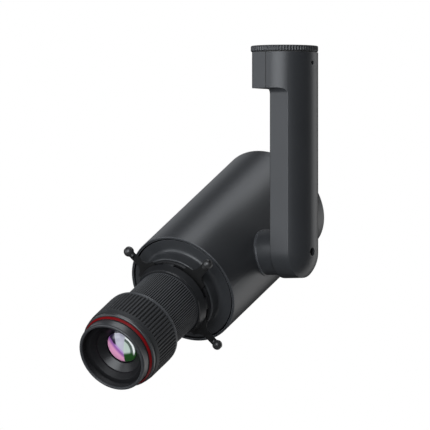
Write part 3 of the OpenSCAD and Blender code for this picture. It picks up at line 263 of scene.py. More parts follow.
def material(name, finish):
    """A material whose Principled shader the finish function dresses."""
    made = bpy.data.materials.get(name) or bpy.data.materials.new(name)
    FINISHES[name] = made
    made.use_nodes = True
    tree = made.node_tree
    tree.nodes.clear()
    output = tree.nodes.new("ShaderNodeOutputMaterial")
    shader = tree.nodes.new("ShaderNodeBsdfPrincipled")
    tree.links.new(shader.outputs["BSDF"], output.inputs["Surface"])
    finish(tree, shader)
    return made


def dress(node, finish):
    """Puts a material on a CAD node."""
    mesh = frame["nodes"][node].data
    mesh.materials.clear()
    mesh.materials.append(finish)


def new_group(name, inputs, outputs):
    """An empty shader node group with named value and vector sockets, and its input and output nodes."""
    group = bpy.data.node_groups.new(name, "ShaderNodeTree")
    kinds = {"value": "NodeSocketFloat", "vector": "NodeSocketVector"}
    for label, kind, default in inputs:
        socket = group.interface.new_socket(label, in_out="INPUT", socket_type=kinds[kind])
        if default is not None:
            socket.default_value = default
    for label, kind in outputs:
        group.interface.new_socket(label, in_out="OUTPUT", socket_type=kinds[kind])
    return group, group.nodes.new("NodeGroupInput"), group.nodes.new("NodeGroupOutput")


def link(tree, source, target):
    tree.links.new(source, target)


def mix_colours(tree, mask, low, high):
    """Colour that runs from low to high as the mask runs from 0 to 1. Both are constants or sockets.
    The Mix node's colours are its inputs 6 and 7 and its output 2."""
    mix = tree.nodes.new("ShaderNodeMix")
    mix.data_type = "RGBA"
    link(tree, mask, mix.inputs[0])
    for colour, socket in ((low, mix.inputs[6]), (high, mix.inputs[7])):
        if isinstance(colour, tuple):
            socket.default_value = (*colour, 1)
        else:
            link(tree, colour, socket)
    return mix.outputs[2]


def arithmetic(tree, operation, first, second):
    """Result of a sum, product or other operation on two numbers or sockets."""
    node = tree.nodes.new("ShaderNodeMath")
    node.operation = operation
    for value, socket in zip((first, second), node.inputs):
        if isinstance(value, float):
            socket.default_value = value
        else:
            link(tree, value, socket)
    return node.outputs[0]


def between(tree, value, low, high):
    """Number between two limits by a mask from 0 to 1."""
    spread = tree.nodes.new("ShaderNodeMapRange")
    spread.inputs["To Min"].default_value = low
    spread.inputs["To Max"].default_value = high
    link(tree, value, spread.inputs["Value"])
    return spread.outputs["Result"]


def step_mask(tree, value, start, end):
    """0 to 1 as the value runs from start to end, with a smooth rise."""
    ramp = tree.nodes.new("ShaderNodeMapRange")
    ramp.interpolation_type = "SMOOTHSTEP"
    ramp.inputs["From Min"].default_value = start
    ramp.inputs["From Max"].default_value = end
    link(tree, value, ramp.inputs["Value"])
    return ramp.outputs["Result"]


def powder_grain_group():
    """Powder coat: fine orange peel as a height, and a slow drift of shade over the surface."""
    group, inside, outside = new_group(
        "powder grain",
        [("Vector", "vector", None), ("Grain Size", "value", 1.0), ("Drift Size", "value", 40.0)],
        [("Height", "value"), ("Speck", "value"), ("Drift", "value")],
    )

    def noise(detail, size_mm):
        texture = group.nodes.new("ShaderNodeTexNoise")
        texture.inputs["Detail"].default_value = detail
        link(group, inside.outputs["Vector"], texture.inputs["Vector"])
        link(group, arithmetic(group, "DIVIDE", 1 / MM, size_mm), texture.inputs["Scale"])
        return texture.outputs["Fac"]

    grain = noise(3.0, inside.outputs["Grain Size"])
    drift = noise(1.0, inside.outputs["Drift Size"])
    link(group, grain, outside.inputs["Height"])
    link(group, grain, outside.inputs["Speck"])
    link(group, drift, outside.inputs["Drift"])
    return group


def turned_lines_group():
    """Lathe marks: noise drawn out round the axis, so it varies along the axis and outwards only."""
    group, inside, outside = new_group(
        "turned lines",
        [("Vector", "vector", None), ("Lines per mm", "value", 8.0)],
        [("Height", "value"), ("Shade", "value")],
    )
    split = group.nodes.new("ShaderNodeSeparateXYZ")
    link(group, inside.outputs["Vector"], split.inputs[0])
    squares = [arithmetic(group, "MULTIPLY", split.outputs[axis], split.outputs[axis]) for axis in "XY"]
    radius = arithmetic(group, "POWER", arithmetic(group, "ADD", *squares), 0.5)
    joined = group.nodes.new("ShaderNodeCombineXYZ")
    link(group, radius, joined.inputs["X"])
    link(group, split.outputs["Z"], joined.inputs["Y"])
    scale = arithmetic(group, "MULTIPLY", inside.outputs["Lines per mm"], 1 / MM)
    texture = group.nodes.new("ShaderNodeTexNoise")
    texture.inputs["Detail"].default_value = 2.0
    link(group, joined.outputs[0], texture.inputs["Vector"])
    link(group, scale, texture.inputs["Scale"])
    link(group, texture.outputs["Fac"], outside.inputs["Height"])
    link(group, texture.outputs["Fac"], outside.inputs["Shade"])
    return group


powder_grain = powder_grain_group()
turned_lines = turned_lines_group()


def object_coordinates(tree):
    return tree.nodes.new("ShaderNodeTexCoord").outputs["Object"]


def optic_coordinates(tree):
    """Object coordinates turned so that Z runs along the optical axis, with the axis at X = Y = 0."""
    mapping = tree.nodes.new("ShaderNodeMapping")
    mapping.vector_type = "POINT"
    turn = Matrix((sideways, across, along))
    mapping.inputs["Rotation"].default_value = turn.to_euler()
    shift = -(turn @ Vector(optic_origin))
    mapping.inputs["Location"].default_value = shift
    link(tree, object_coordinates(tree), mapping.inputs["Vector"])
    return mapping.outputs["Vector"]


def use_group(tree, group, vector, **values):
    node = tree.nodes.new("ShaderNodeGroup")
    node.node_tree = group
    link(tree, vector, node.inputs["Vector"])
    for label, value in values.items():
        node.inputs[label.replace("_", " ")].default_value = value
    return node


def bump(tree, shader, height, depth_mm, normal=None):
    node = tree.nodes.new("ShaderNodeBump")
    node.inputs["Distance"].default_value = depth_mm * MM
    if normal is not None:
        link(tree, normal, node.inputs["Normal"])
    link(tree, height, node.inputs["Height"])
    link(tree, node.outputs["Normal"], shader.inputs["Normal"])


def soft_edges(tree, radius_mm):
    """Normal of a small round on every edge, and a mask of how near an edge is."""
    bevel = tree.nodes.new("ShaderNodeBevel")
    bevel.samples = 6
    bevel.inputs["Radius"].default_value = radius_mm * MM
    face = tree.nodes.new("ShaderNodeNewGeometry")
    agree = tree.nodes.new("ShaderNodeVectorMath")
    agree.operation = "DOT_PRODUCT"
    link(tree, bevel.outputs["Normal"], agree.inputs[0])
    link(tree, face.outputs["Normal"], agree.inputs[1])
    near_edge = tree.nodes.new("ShaderNodeMapRange")
    near_edge.inputs["From Min"].default_value = 0.985
    near_edge.inputs["From Max"].default_value = 0.80
    link(tree, agree.outputs["Value"], near_edge.inputs["Value"])
    return bevel.outputs["Normal"], near_edge.outputs["Result"]


def edge_highlight_colour(tree, colour, near_edge, edge_colour, strength):
    """Colour that turns towards a painted highlight colour where the mask says that an edge is near."""
    return mix_colours(tree, arithmetic(tree, "MULTIPLY", near_edge, strength), colour, edge_colour)


def powder_coat(edge=2.2, seam=None):
    """Satin black powder coat with fine orange peel, a slow drift of shade and softly rounded edges
    that carry a painted highlight, paler than the rest by a given factor. The seam is a span of X over which
    the colour falls to a painted shade along the groove of the joint."""
    low = (0.023, 0.0243, 0.0262)
    high = (0.029, 0.0304, 0.0328)
    seam_shade = (0.003, 0.003, 0.003)

    def finish(tree, shader):
        grain = use_group(tree, powder_grain, object_coordinates(tree), Grain_Size=0.45, Drift_Size=30.0)
        round_normal, near_edge = soft_edges(tree, radius_mm=0.5)
        colour = mix_colours(tree, grain.outputs["Drift"], low, high)
        # Paler colour near every edge: a painted highlight.
        colour = edge_highlight_colour(tree, colour, near_edge, tuple(edge * c for c in high), strength=0.6)
        if seam:
            split = tree.nodes.new("ShaderNodeSeparateXYZ")
            link(tree, object_coordinates(tree), split.inputs[0])
            # Painted shade along the groove of the seam.
            colour = mix_colours(tree, step_mask(tree, split.outputs["X"], *seam), colour, seam_shade)
        link(tree, colour, shader.inputs["Base Color"])
        link(tree, between(tree, grain.outputs["Speck"], 0.36, 0.44), shader.inputs["Roughness"])
        shader.inputs["Specular IOR Level"].default_value = 0.45
        bump(tree, shader, grain.outputs["Height"], depth_mm=0.010, normal=round_normal)
    return finish


def turned_metal(low, high, rough=(0.3, 0.42), metallic=0.0, specular=0.5, highlight_strength=0.5):
    """Metal turned on a lathe and anodised, with fine marks round the optical axis and a painted highlight along
    its edges.
    """
    edge = 2.5
    highlight_cap = 0.9

    def finish(tree, shader):
        marks = use_group(tree, turned_lines, optic_coordinates(tree), Lines_per_mm=6.0)
        round_normal, near_edge = soft_edges(tree, radius_mm=0.25)
        colour = mix_colours(tree, marks.outputs["Shade"], low, high)
        # Paler colour near every edge: a painted highlight.
        highlight_tint = tuple(min(highlight_cap, edge * c) for c in high)
        link(tree, edge_highlight_colour(tree, colour, near_edge, highlight_tint, highlight_strength), shader.inputs["Base Color"])
        link(tree, between(tree, marks.outputs["Shade"], *rough), shader.inputs["Roughness"])
        shader.inputs["Metallic"].default_value = metallic
        shader.inputs["Specular IOR Level"].default_value = specular
        bump(tree, shader, marks.outputs["Height"], depth_mm=0.004, normal=round_normal)
    return finish


def moulded(low, high, rough=(0.35, 0.5), specular=0.5):
    """Moulded plastic or rubber with a faint grain."""
    def finish(tree, shader):
        grain = use_group(tree, powder_grain, object_coordinates(tree), Grain_Size=0.35, Drift_Size=12.0)
        link(tree, mix_colours(tree, grain.outputs["Drift"], low, high), shader.inputs["Base Color"])
        link(tree, between(tree, grain.outputs["Speck"], *rough), shader.inputs["Roughness"])
        shader.inputs["Specular IOR Level"].default_value = specular
        bump(tree, shader, grain.outputs["Height"], depth_mm=0.006)
    return finish


def clear_glass(tint, specular_tint=(1, 1, 1)):
    """Polished lens glass with a coat that tints its reflections, a little paler where dust lies."""
    dust_share = 0.04

    def finish(tree, shader):
        dust = use_group(tree, powder_grain, object_coordinates(tree), Grain_Size=0.8, Drift_Size=9.0)
        paler = tuple((1 - dust_share) * c + dust_share for c in tint)
        link(tree, mix_colours(tree, dust.outputs["Drift"], tint, paler), shader.inputs["Base Color"])
        link(tree, between(tree, dust.outputs["Speck"], 0.0, 0.02), shader.inputs["Roughness"])
        shader.inputs["Transmission Weight"].default_value = 1.0
        shader.inputs["IOR"].default_value = 1.5
        shader.inputs["Specular Tint"].default_value = (*specular_tint, 1)
    return finish


def axis_distance(tree, shift=(0.0, 0.0)):
    """Distance in mm from the optical axis, or from a line beside it that is shifted in x and y."""
    flat = tree.nodes.new("ShaderNodeVectorMath")
    flat.operation = "MULTIPLY_ADD"
    flat.inputs[1].default_value = (1 / MM, 1 / MM, 0.0)
    flat.inputs[2].default_value = (-shift[0], -shift[1], 0.0)
    link(tree, optic_coordinates(tree), flat.inputs[0])
    radius = tree.nodes.new("ShaderNodeVectorMath")
    radius.operation = "LENGTH"
    link(tree, flat.outputs["Vector"], radius.inputs[0])
    return radius.outputs["Value"]


def ribbed(node, depth_mm, groove, crest_highlight):
    """Matt black knurling: by the distance from the axis, the ribs' crests take a paler colour as a painted
    highlight and the grooves a darker one as painted shade."""
    outer = optic_reach(node)[3] / MM

    def finish(tree, shader):
        grain = use_group(tree, powder_grain, object_coordinates(tree), Grain_Size=0.5, Drift_Size=14.0)
        # Crests paler as a painted highlight, grooves darker as painted shade.
        lit_crest = step_mask(tree, axis_distance(tree), outer - depth_mm, outer - 0.1 * depth_mm)
        link(tree, mix_colours(tree, lit_crest, groove, crest_highlight), shader.inputs["Base Color"])
        link(tree, between(tree, grain.outputs["Speck"], 0.46, 0.56), shader.inputs["Roughness"])
        shader.inputs["Specular IOR Level"].default_value = 0.22
        bump(tree, shader, grain.outputs["Drift"], depth_mm=0.004)
    return finish


def along_line(tree, vector, direction):
    """Distance in mm of a point along a direction in the lens's plane."""
    reach = tree.nodes.new("ShaderNodeVectorMath")
    reach.operation = "DOT_PRODUCT"
    reach.inputs[1].default_value = (direction[0] / MM, direction[1] / MM, 0.0)
    link(tree, vector, reach.inputs[0])
    return reach.outputs["Value"]


def product(tree, mask, *others):
    """Product of masks."""
    for other in others:
        mask = arithmetic(tree, "MULTIPLY", mask, other)
    return mask


def paint_lens_reflections(tree, shader):
    """Painted reflections of the lamps in the coated lens face, laid by place on the lens: lavender in
    the middle, a pink crescent on the lower left with a dark gap beside it, pale green with a painted highlight
    arc and a dark arc on the right, dark green below, a dark rim and a painted shade along the lower left.
    Distances are in mm from the lens's axis, and each colour lies on one side of a straight or round boundary."""
    place = optic_coordinates(tree)
    right = along_line(tree, place, (0.824, -0.279))
    up = along_line(tree, place, (0.0, 0.883))
    slope = along_line(tree, place, (0.600, 0.402))
    steep = along_line(tree, place, (0.781, 0.015))
    rim = axis_distance(tree)
    off_centre = axis_distance(tree, (1.5, 1.1))
    drift = use_group(tree, powder_grain, object_coordinates(tree), Grain_Size=1.2, Drift_Size=6.0)

    def band(low, high, soft=0.3):
        return product(tree, step_mask(tree, rim, low, low + soft), step_mask(tree, rim, high, high - soft))

    lavender = mix_colours(tree, drift.outputs["Drift"], (0.36, 0.35, 0.42), (0.52, 0.51, 0.58))
    gap = mix_colours(tree, step_mask(tree, up, 4.4, 2.6), (0.028, 0.018, 0.045), (0.40, 0.24, 0.50))
    middle = product(tree, step_mask(tree, slope, 0.3, 0.7), step_mask(tree, steep, -1.8, -1.3))
    on_right = step_mask(tree, right, 2.6, 2.9)
    upper = step_mask(tree, slope, 2.5, 5.0)
    violet_edge = step_mask(tree, slope, -0.3, -0.8)
    crescent = step_mask(tree, slope, -1.2, -3.4)
    dark_arc = product(tree, on_right, band(8.0, 10.2))
    dark_edge = product(tree, on_right, step_mask(tree, rim, 11.2, 11.6))
    green_foot = product(tree, on_right, step_mask(tree, up, -2.0, -4.4))
    highlight_arc = product(tree, band(9.9, 11.4), upper, on_right)

    # Each colour below is painted light: a reflection of the lamps, a painted highlight arc or painted shade.
    colour = mix_colours(tree, middle, gap, lavender)
    for mask, tint in (
        (violet_edge, (0.27, 0.10, 0.32)),
        (crescent, (0.66, 0.29, 0.46)),
        (on_right, (0.44, 0.52, 0.46)),
        (dark_arc, (0.10, 0.13, 0.11)),
        (dark_edge, (0.05, 0.06, 0.055)),
        (green_foot, (0.016, 0.062, 0.014)),
        (highlight_arc, (0.92, 0.94, 0.92)),
        (step_mask(tree, rim, 12.0, 12.4), (0.004, 0.004, 0.004)),
        (step_mask(tree, off_centre, 12.1, 12.5), (0.006, 0.005, 0.007)),
    ):
        colour = mix_colours(tree, mask, colour, tint)
    link(tree, colour, shader.inputs["Base Color"])
    link(tree, between(tree, drift.outputs["Speck"], 0.05, 0.09), shader.inputs["Roughness"])
    shader.inputs["Specular IOR Level"].default_value = 0.6


block_face = node_points("head_block")[:, 0].max()
shell_face = node_points("arm_shell")[:, 0].min()
# Span inside the joint face over which the painted shade of the seam's groove comes in.
SEAM_DARK = 0.30 * MM
SEAM_EDGE = 0.55 * MM
powder_black = material("powder_black", powder_coat())
# Housing tube and knuckle: a stronger painted highlight along their rims.
tube_black = material("tube_black", powder_coat(edge=9.0))
block_black = material("block_black", powder_coat(seam=(block_face - SEAM_EDGE, block_face - SEAM_DARK)))
shell_black = material("shell_black", powder_coat(seam=(shell_face + SEAM_EDGE, shell_face + SEAM_DARK)))
# Knurled grips: the first colour is painted shade in the grooves, the second a painted highlight on the crests.
zoom_black = material("zoom_black", ribbed(
    "zoom_ring", 0.30, (0.003, 0.003, 0.003), (0.060, 0.062, 0.066)))
focus_black = material("focus_black", ribbed(
    "focus_ring", 0.80, (0.014, 0.014, 0.014), (0.027, 0.028, 0.030)))
material("ring_black", turned_metal((0.010, 0.0105, 0.011), (0.016, 0.0165, 0.017), highlight_strength=0.3))
material("anodised_black", turned_metal((0.010, 0.0105, 0.011), (0.015, 0.0155, 0.017)))
mouth_black = material("mouth_black", turned_metal(
    (0.006, 0.006, 0.0065), (0.010, 0.010, 0.011), (0.42, 0.55), specular=0.16, highlight_strength=0.25))
cone_black = material("cone_black", turned_metal(
    (0.008, 0.008, 0.0085), (0.012, 0.012, 0.013), (0.32, 0.40), specular=0.42, highlight_strength=0.2))
barrel_grey = material("barrel_grey", turned_metal((0.026, 0.0270, 0.029), (0.036, 0.0375, 0.040)))
# A paler copy of barrel grey for the focus ring's rear lip: a painted highlight.
lip_highlight_grey = material("lip_highlight_grey", turned_metal((0.054, 0.056, 0.060), (0.066, 0.068, 0.072)))
red_anodised = material("red_anodised", turned_metal(
    (0.11, 0.0006, 0.0016), (0.15, 0.0012, 0.0028), (0.4, 0.5), specular=0.15, highlight_strength=0.1))
material("blade_black", moulded((0.009, 0.009, 0.009), (0.013, 0.013, 0.013), specular=0.25))
knob_black = material("knob_black", moulded((0.020, 0.020, 0.020), (0.028, 0.028, 0.028), (0.28, 0.4)))
material("steel", turned_metal((0.42, 0.42, 0.43), (0.52, 0.52, 0.53), (0.2, 0.34), 1.0))
material("screw_black", turned_metal(
    (0.008, 0.008, 0.008), (0.013, 0.013, 0.014), metallic=0.3))
material("bare_aluminium", turned_metal(
    (0.56, 0.57, 0.58), (0.66, 0.67, 0.68), metallic=1.0))
material("brass", turned_metal((0.55, 0.38, 0.13), (0.66, 0.47, 0.19), (0.25, 0.4), 1.0))
material("fibre", moulded((0.050, 0.046, 0.042), (0.070, 0.064, 0.058), (0.7, 0.9)))
material("board_green", moulded((0.02, 0.13, 0.05), (0.04, 0.18, 0.08), (0.3, 0.4)))
material("part_dark", moulded((0.04, 0.04, 0.045), (0.06, 0.06, 0.065)))
material("tray_grey", moulded((0.16, 0.16, 0.17), (0.2, 0.2, 0.21)))
material("board_white", moulded((0.70, 0.71, 0.71), (0.78, 0.79, 0.79)))
material("phosphor", moulded((0.86, 0.66, 0.12), (0.92, 0.76, 0.2), (0.4, 0.5)))
material("holder_white", moulded((0.70, 0.69, 0.65), (0.78, 0.77, 0.73)))
material("lead_black", moulded((0.025, 0.025, 0.025), (0.035, 0.035, 0.035)))
material("lens_clear", clear_glass((0.96, 0.98, 0.98)))
lens_coated = material("lens_coated", clear_glass((0.95, 0.96, 0.97), (0.8, 0.95, 0.85)))
# Lens face with painted reflections, a painted highlight arc and painted shade.
coating_reflections = material("coating_reflections", paint_lens_reflections)

for entry in frame["record"]["subparts"]:
    dress(entry["node"], FINISHES[entry["material_slot"]])
for node, finish in {
    "gate_ring": mouth_black, "lens_cone": cone_black, "pan_lock_screw": mouth_black,
    "tilt_lock_screw": mouth_black, "housing_tube": tube_black, "knuckle": tube_black,
    "head_block": block_black, "arm_shell": shell_black,
}.items():
    dress(node, finish)


def zoom_grip():
    """Zoom ring: a turned sleeve with fine straight ribs from end to end."""
    ribs = 92
    steps_per_rib = 10
    rib_depth = 0.45 * MM
    low, high, inner, outer = optic_reach("zoom_ring")
    outline = with_rows(rounded([
        (inner, low, 0.2 * MM), (outer - 0.1 * MM, low, 0.2 * MM), (outer, low + 0.5 * MM, 0.2 * MM),
        (outer, high - 1.0 * MM, 0.3 * MM), (outer - rib_depth, high, 0.2 * MM), (inner, high, 0.2 * MM),
    ]), longest=2.0 * MM)
    carve = straight_ribs(
        ribs, rib_depth, low + 0.3 * MM, high, floor=outer - 1.5 * rib_depth, sharpness=1.6)
    made = turned_ring("zoom_grip", outline, optic_place, ribs * steps_per_rib, [zoom_black], carve)
    return stands_for(made, "zoom_ring")


def focus_grip():
    """Focus ring: a turned sleeve with coarse ribs between a smooth rear lip and a smooth band."""
    ribs = 68
    steps_per_rib = 12
    rib_depth = 0.9 * MM
    low, high, inner, outer = optic_reach("focus_ring")
    rib_low = low + 2.7 * MM
    rib_high = high - 3.6 * MM
    outline = with_rows(rounded([
        (inner, low, 0.2 * MM), (outer - 1.2 * MM, low, 0.4 * MM), (outer, low + 0.9 * MM, 0.8 * MM),
        (outer - 0.55 * MM, rib_low - 0.1 * MM, 0.1 * MM), (outer, rib_low + 0.5 * MM, 0.2 * MM),
        (outer, rib_high - 0.6 * MM, 0.3 * MM), (outer - 0.1 * MM, rib_high, 0),
        (outer - 0.4 * MM, high - 0.5 * MM, 0.3 * MM), (outer - 0.9 * MM, high, 0.3 * MM),
        (inner, high, 0.2 * MM),
    ]), longest=1.2 * MM)
    carve = straight_ribs(
        ribs, rib_depth, rib_low, rib_high, floor=outer - 0.3 * MM, sharpness=2.4, fullness=0.3)
    # The rear lip takes the paler grey as a painted highlight.
    lip = (outline[:, 1] < rib_low) & (outline[:, 0] > outer - 2.0 * MM)
    made = turned_ring(
        "focus_grip", outline, optic_place, ribs * steps_per_rib, [focus_black, lip_highlight_grey], carve, lip)
    return stands_for(made, "focus_ring")


def disc_grip():
    """Mounting disc: a turned plate with soft rims and short ribs round its edge."""
    ribs = 70
    steps_per_rib = 12
    rib_depth = 0.55 * MM
    points = node_points("top_disc")
    radius = np.hypot(points[:, 0], points[:, 1])
    low, high, inner, outer = points[:, 2].min(), points[:, 2].max(), radius.min(), radius.max()
    outline = with_rows(rounded([
        (inner, low, 0.1 * MM), (outer - 0.5 * MM, low, 0.3 * MM), (outer, low + 0.5 * MM, 0.25 * MM),
        (outer, high - 0.5 * MM, 0.25 * MM), (outer - 0.5 * MM, high, 0.3 * MM), (inner, high, 0.1 * MM),
    ]), longest=1.0 * MM)
    carve = straight_ribs(
        ribs, rib_depth, low + 0.1 * MM, high - 0.1 * MM, floor=outer - 0.2 * MM, sharpness=1.8)
    made = turned_ring("disc_grip", outline, upright_place, ribs * steps_per_rib, [powder_black], carve)
    return stands_for(made, "top_disc")


def red_band():
    """Red ring: a turned cone between the ridge and the hood, r = outer - slope (s - low), with a
    narrow groove at each end that takes the black finish as painted shade."""
    turns = 360
    low, high, inner, outer = optic_reach("red_ring")
    narrow = inner + 1.3 * MM
    slope = (outer - narrow) / (high - low)
    groove = 0.55 * MM
    sunk = 0.3 * MM
    first = outer - slope * groove
    last = narrow + slope * groove
    outline = with_rows(rounded([
        (inner, low, 0.1 * MM), (first - sunk, low, 0), (first - sunk, low + groove, 0),
        (first, low + groove, 0.08 * MM), (last, high - groove, 0.08 * MM),
        (last - sunk, high - groove, 0), (last - sunk, high, 0), (inner, high, 0.1 * MM),
    ]), longest=0.8 * MM)
    r, s = outline.T
    below_cone = r < outer - slope * (s - low) - 0.05 * MM
    # Grooves and faces under the cone take the dark mouth finish: painted shade.
    shaded_rows = below_cone | (s < low + groove - 0.01 * MM) | (s > high - groove - 0.1 * MM)
    made = turned_ring("red_band", outline, optic_place, turns, [red_anodised, mouth_black], inside=shaded_rows)
    return stands_for(made, "red_ring")


def hood_shell():
    """Hood: a turned shell with a soft front rim, a filter thread in its mouth, a flat step and a cone
    down to the lens. The mouth and everything behind it is matt black."""
    turns = 320
    pitch = 0.75 * MM
    thread_depth = 0.32 * MM
    low, high, inner, outer = optic_reach("hood")
    red_high, neck = optic_reach("red_ring")[1:3]
    back = neck + 1.2 * MM
    mouth = 24.5 * MM
    step = 21.0 * MM
    step_s = high - 5.8 * MM
    thread_top = high - 0.9 * MM
    outline = with_rows(rounded([
        (inner, low, 0), (neck, low, 0.1 * MM), (neck, red_high, 0), (back, red_high, 0.15 * MM),
        (back, high - 2.4 * MM, 0.6 * MM), (outer, high - 1.2 * MM, 0.5 * MM),
        (outer - 0.7 * MM, high, 0.5 * MM), (mouth + 0.5 * MM, high, 0.25 * MM),
        (mouth, thread_top, 0), (mouth, step_s, 0), (step, step_s, 0.3 * MM),
        (inner + 0.3 * MM, low + 1.0 * MM, 0.2 * MM),
    ]), longest=0.8 * MM, wall=mouth, finest=0.09 * MM)
    inside = outline[:, 0] < mouth + 0.2 * MM
    thread = inner_thread(pitch, thread_depth, step_s, thread_top, ceiling=mouth + 0.05 * MM)
    made = turned_ring("hood_shell", outline, optic_place, turns, [barrel_grey, mouth_black], thread, inside)
    return stands_for(made, "hood")


def coated_lens():
    """Front lens: two ball faces, s = apex - (R - sqrt(R^2 - r^2)) in front and the mirrored form
    behind. The front face carries painted reflections of the coated glass, and the rear face is clear glass."""
    low, high, _, rim = optic_reach("front_lens")
    front_ball = 28.0 * MM
    back_ball = 60.0 * MM
    circles = 24
    turns = 160
    back_r = rim * np.sin(np.linspace(0, np.pi / 2, circles))
    front_r = back_r[::-1]
    back = np.stack([back_r, low + back_ball - np.sqrt(back_ball ** 2 - back_r ** 2)], axis=-1)
    front = np.stack([front_r, high - front_ball + np.sqrt(front_ball ** 2 - front_r ** 2)], axis=-1)
    profile = np.concatenate([back, front])
    made = lathe_mesh("coated_lens", profile, optic_place, turns, [coating_reflections, lens_coated], circles - 1)
    return stands_for(made, "front_lens")


def ball_knob(number):
    """Shutter knob: a ball on a short neck along the shutter's stem, with a dimple in its outer end.
    Its profile is (radius, distance along the stem), and the ball's part is (R sin a, centre - R cos a)."""
    node = f"shutter_knob_{number}"
    rel = node_points(node) - optic_origin
    depth = rel @ along
    mid = (depth.min() + depth.max()) / 2
    flat = rel - np.outer(depth, along)
    outwards = (flat.min(axis=0) + flat.max(axis=0)) / 2
    outwards /= np.linalg.norm(outwards)
    reach = flat @ outwards
    turns = 64
    circles = 18
    dimple_share = 0.36
    pit_share = 0.26
    neck_share = 0.62
    tip_share = math.sqrt(1 - dimple_share ** 2)
    ball = (reach.max() - reach.min() - 0.9 * MM) / (1 + tip_share)
    centre = reach.max() - tip_share * ball
    neck = neck_share * ball
    start = math.asin(neck_share)
    end = math.pi - math.asin(dimple_share)
    turn = np.linspace(start, end, circles)
    shell = np.stack([ball * np.sin(turn), centre - ball * np.cos(turn)], axis=-1)
    foot = reach.min()
    pit_floor = reach.max() - 0.8 * MM
    profile = np.concatenate([
        [(0, foot), (neck - 0.3 * MM, foot), (neck, foot + 0.3 * MM)], shell,
        [(dimple_share * ball - 0.15 * MM, reach.max() - 0.1 * MM), (pit_share * ball, pit_floor),
         (0, pit_floor)],
    ])
    base = optic_origin + mid * along
    side = np.cross(outwards, along)

    def knob_place(x, y, s):
        return (
            base + np.multiply.outer(x, along) + np.multiply.outer(y, side) + np.multiply.outer(s, outwards)
        )

    made = lathe_mesh(f"ball_knob_{number}", profile, knob_place, turns, [knob_black])
    return stands_for(made, node)


def bezel_shell():
    """Front bezel: a turned plate with a raised boss, whose foot runs into the plate in a wide round
    and whose rim is soft."""
    turns = 256
    low, high, inner, outer = optic_reach("front_bezel")
    plate = outer - 1.0 * MM
    plate_top = high - 10.6 * MM
    plate_low = plate_top - 2.2 * MM
    spigot = plate - 1.5 * MM
    boss = 30.2 * MM
    outline = with_rows(rounded([
        (inner, plate_low, 0), (spigot, plate_low, 0), (spigot, low, 0.1 * MM), (outer, low, 0.2 * MM),
        (outer, plate_low, 0), (plate, plate_low, 0), (plate, plate_top, 0.25 * MM),
        (boss, plate_top, 3.6 * MM), (boss, high, 1.1 * MM), (inner, high, 0.3 * MM),
    ], steps=8), longest=1.5 * MM)
    # The rows in the groove round the plate take the dark mouth finish: painted shade.
    groove = outline[:, 0] > plate - 0.05 * MM
    made = turned_ring(
        "bezel_shell", outline, optic_place, turns, [powder_black, mouth_black], inside=groove)
    return stands_for(made, "front_bezel")


zoom_grip()
focus_grip()
disc_grip()
red_band()
hood_shell()
coated_lens()
bezel_shell()
for number in range(1, 5):
    ball_knob(number)


def softbox(name, direction, distance, size, watts, centre):
    """A rectangular area lamp at a distance from the object."""
    lamp = bpy.data.lights.new(name, "AREA")
    lamp.shape = "RECTANGLE"
    lamp.size, lamp.size_y = size
    lamp.energy = watts
    lamp.color = LAMP_TINT
    holder = bpy.data.objects.new(name, lamp)
    bpy.context.scene.collection.objects.link(holder)
    holder.location = Vector(centre) + Vector(direction).normalized() * distance
    holder.rotation_euler = (Vector(centre) - holder.location).to_track_quat("-Z", "Y").to_euler()


def make_world():
    """Even grey light for soft shadow, and white where camera, gloss or glass look past the object."""
    world = bpy.data.worlds.new("studio")
    world.use_nodes = True
    bpy.context.scene.world = world
    tree = world.node_tree
    tree.nodes.clear()
    output = tree.nodes.new("ShaderNodeOutputWorld")
    fill = tree.nodes.new("ShaderNodeBackground")
    fill.inputs["Color"].default_value = (0.145, 0.145, 0.145, 1)
    white = tree.nodes.new("ShaderNodeBackground")
    white.inputs["Color"].default_value = (1, 1, 1, 1)
    path = tree.nodes.new("ShaderNodeLightPath")
    seen = arithmetic(tree, "MAXIMUM", path.outputs["Is Camera Ray"], path.outputs["Is Glossy Ray"])
    seen = arithmetic(tree, "MAXIMUM", seen, path.outputs["Is Transmission Ray"])
    mix = tree.nodes.new("ShaderNodeMixShader")
    link(tree, seen, mix.inputs[0])
    link(tree, fill.outputs[0], mix.inputs[1])
    link(tree, white.outputs[0], mix.inputs[2])
    link(tree, mix.outputs[0], output.inputs[0])


def pale_floor():
    """Pale floor under the hanging lamp, white to the camera apart from the lamp's shadow. Gloss
    doesn't see it, and from below it is clear, so low views look past it."""
    half_width = 12.0
    drop = 0.8
    glow_strength = 0.68

    def finish(tree, shader):
        grain = use_group(tree, powder_grain, object_coordinates(tree), Grain_Size=30.0, Drift_Size=900.0)
        shade = mix_colours(tree, grain.outputs["Drift"], (0.80, 0.80, 0.80), (0.83, 0.83, 0.83))
        link(tree, shade, shader.inputs["Base Color"])
        shader.inputs["Roughness"].default_value = 0.8
        shader.inputs["Specular IOR Level"].default_value = 0.1
        shader.inputs["Emission Color"].default_value = (1, 1, 1, 1)
        path = tree.nodes.new("ShaderNodeLightPath")
        glow = arithmetic(tree, "MULTIPLY", path.outputs["Is Camera Ray"], glow_strength)
        link(tree, glow, shader.inputs["Emission Strength"])
        output = next(n for n in tree.nodes if n.type == "OUTPUT_MATERIAL")
        clear = tree.nodes.new("ShaderNodeBsdfTransparent")
        face = tree.nodes.new("ShaderNodeNewGeometry")
        mix = tree.nodes.new("ShaderNodeMixShader")
        link(tree, face.outputs["Backfacing"], mix.inputs[0])
        link(tree, shader.outputs["BSDF"], mix.inputs[1])
        link(tree, clear.outputs[0], mix.inputs[2])
        link(tree, mix.outputs[0], output.inputs["Surface"])

    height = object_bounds()[0].z - drop
    corners = np.array([
        (x * half_width, y * half_width, height) for x, y in ((-1, -1), (1, -1), (1, 1), (-1, 1))
    ])
    floor = solid("floor", corners, [(0, 1, 2, 3)], [material("floor_pale", finish)])
    floor.visible_glossy = False


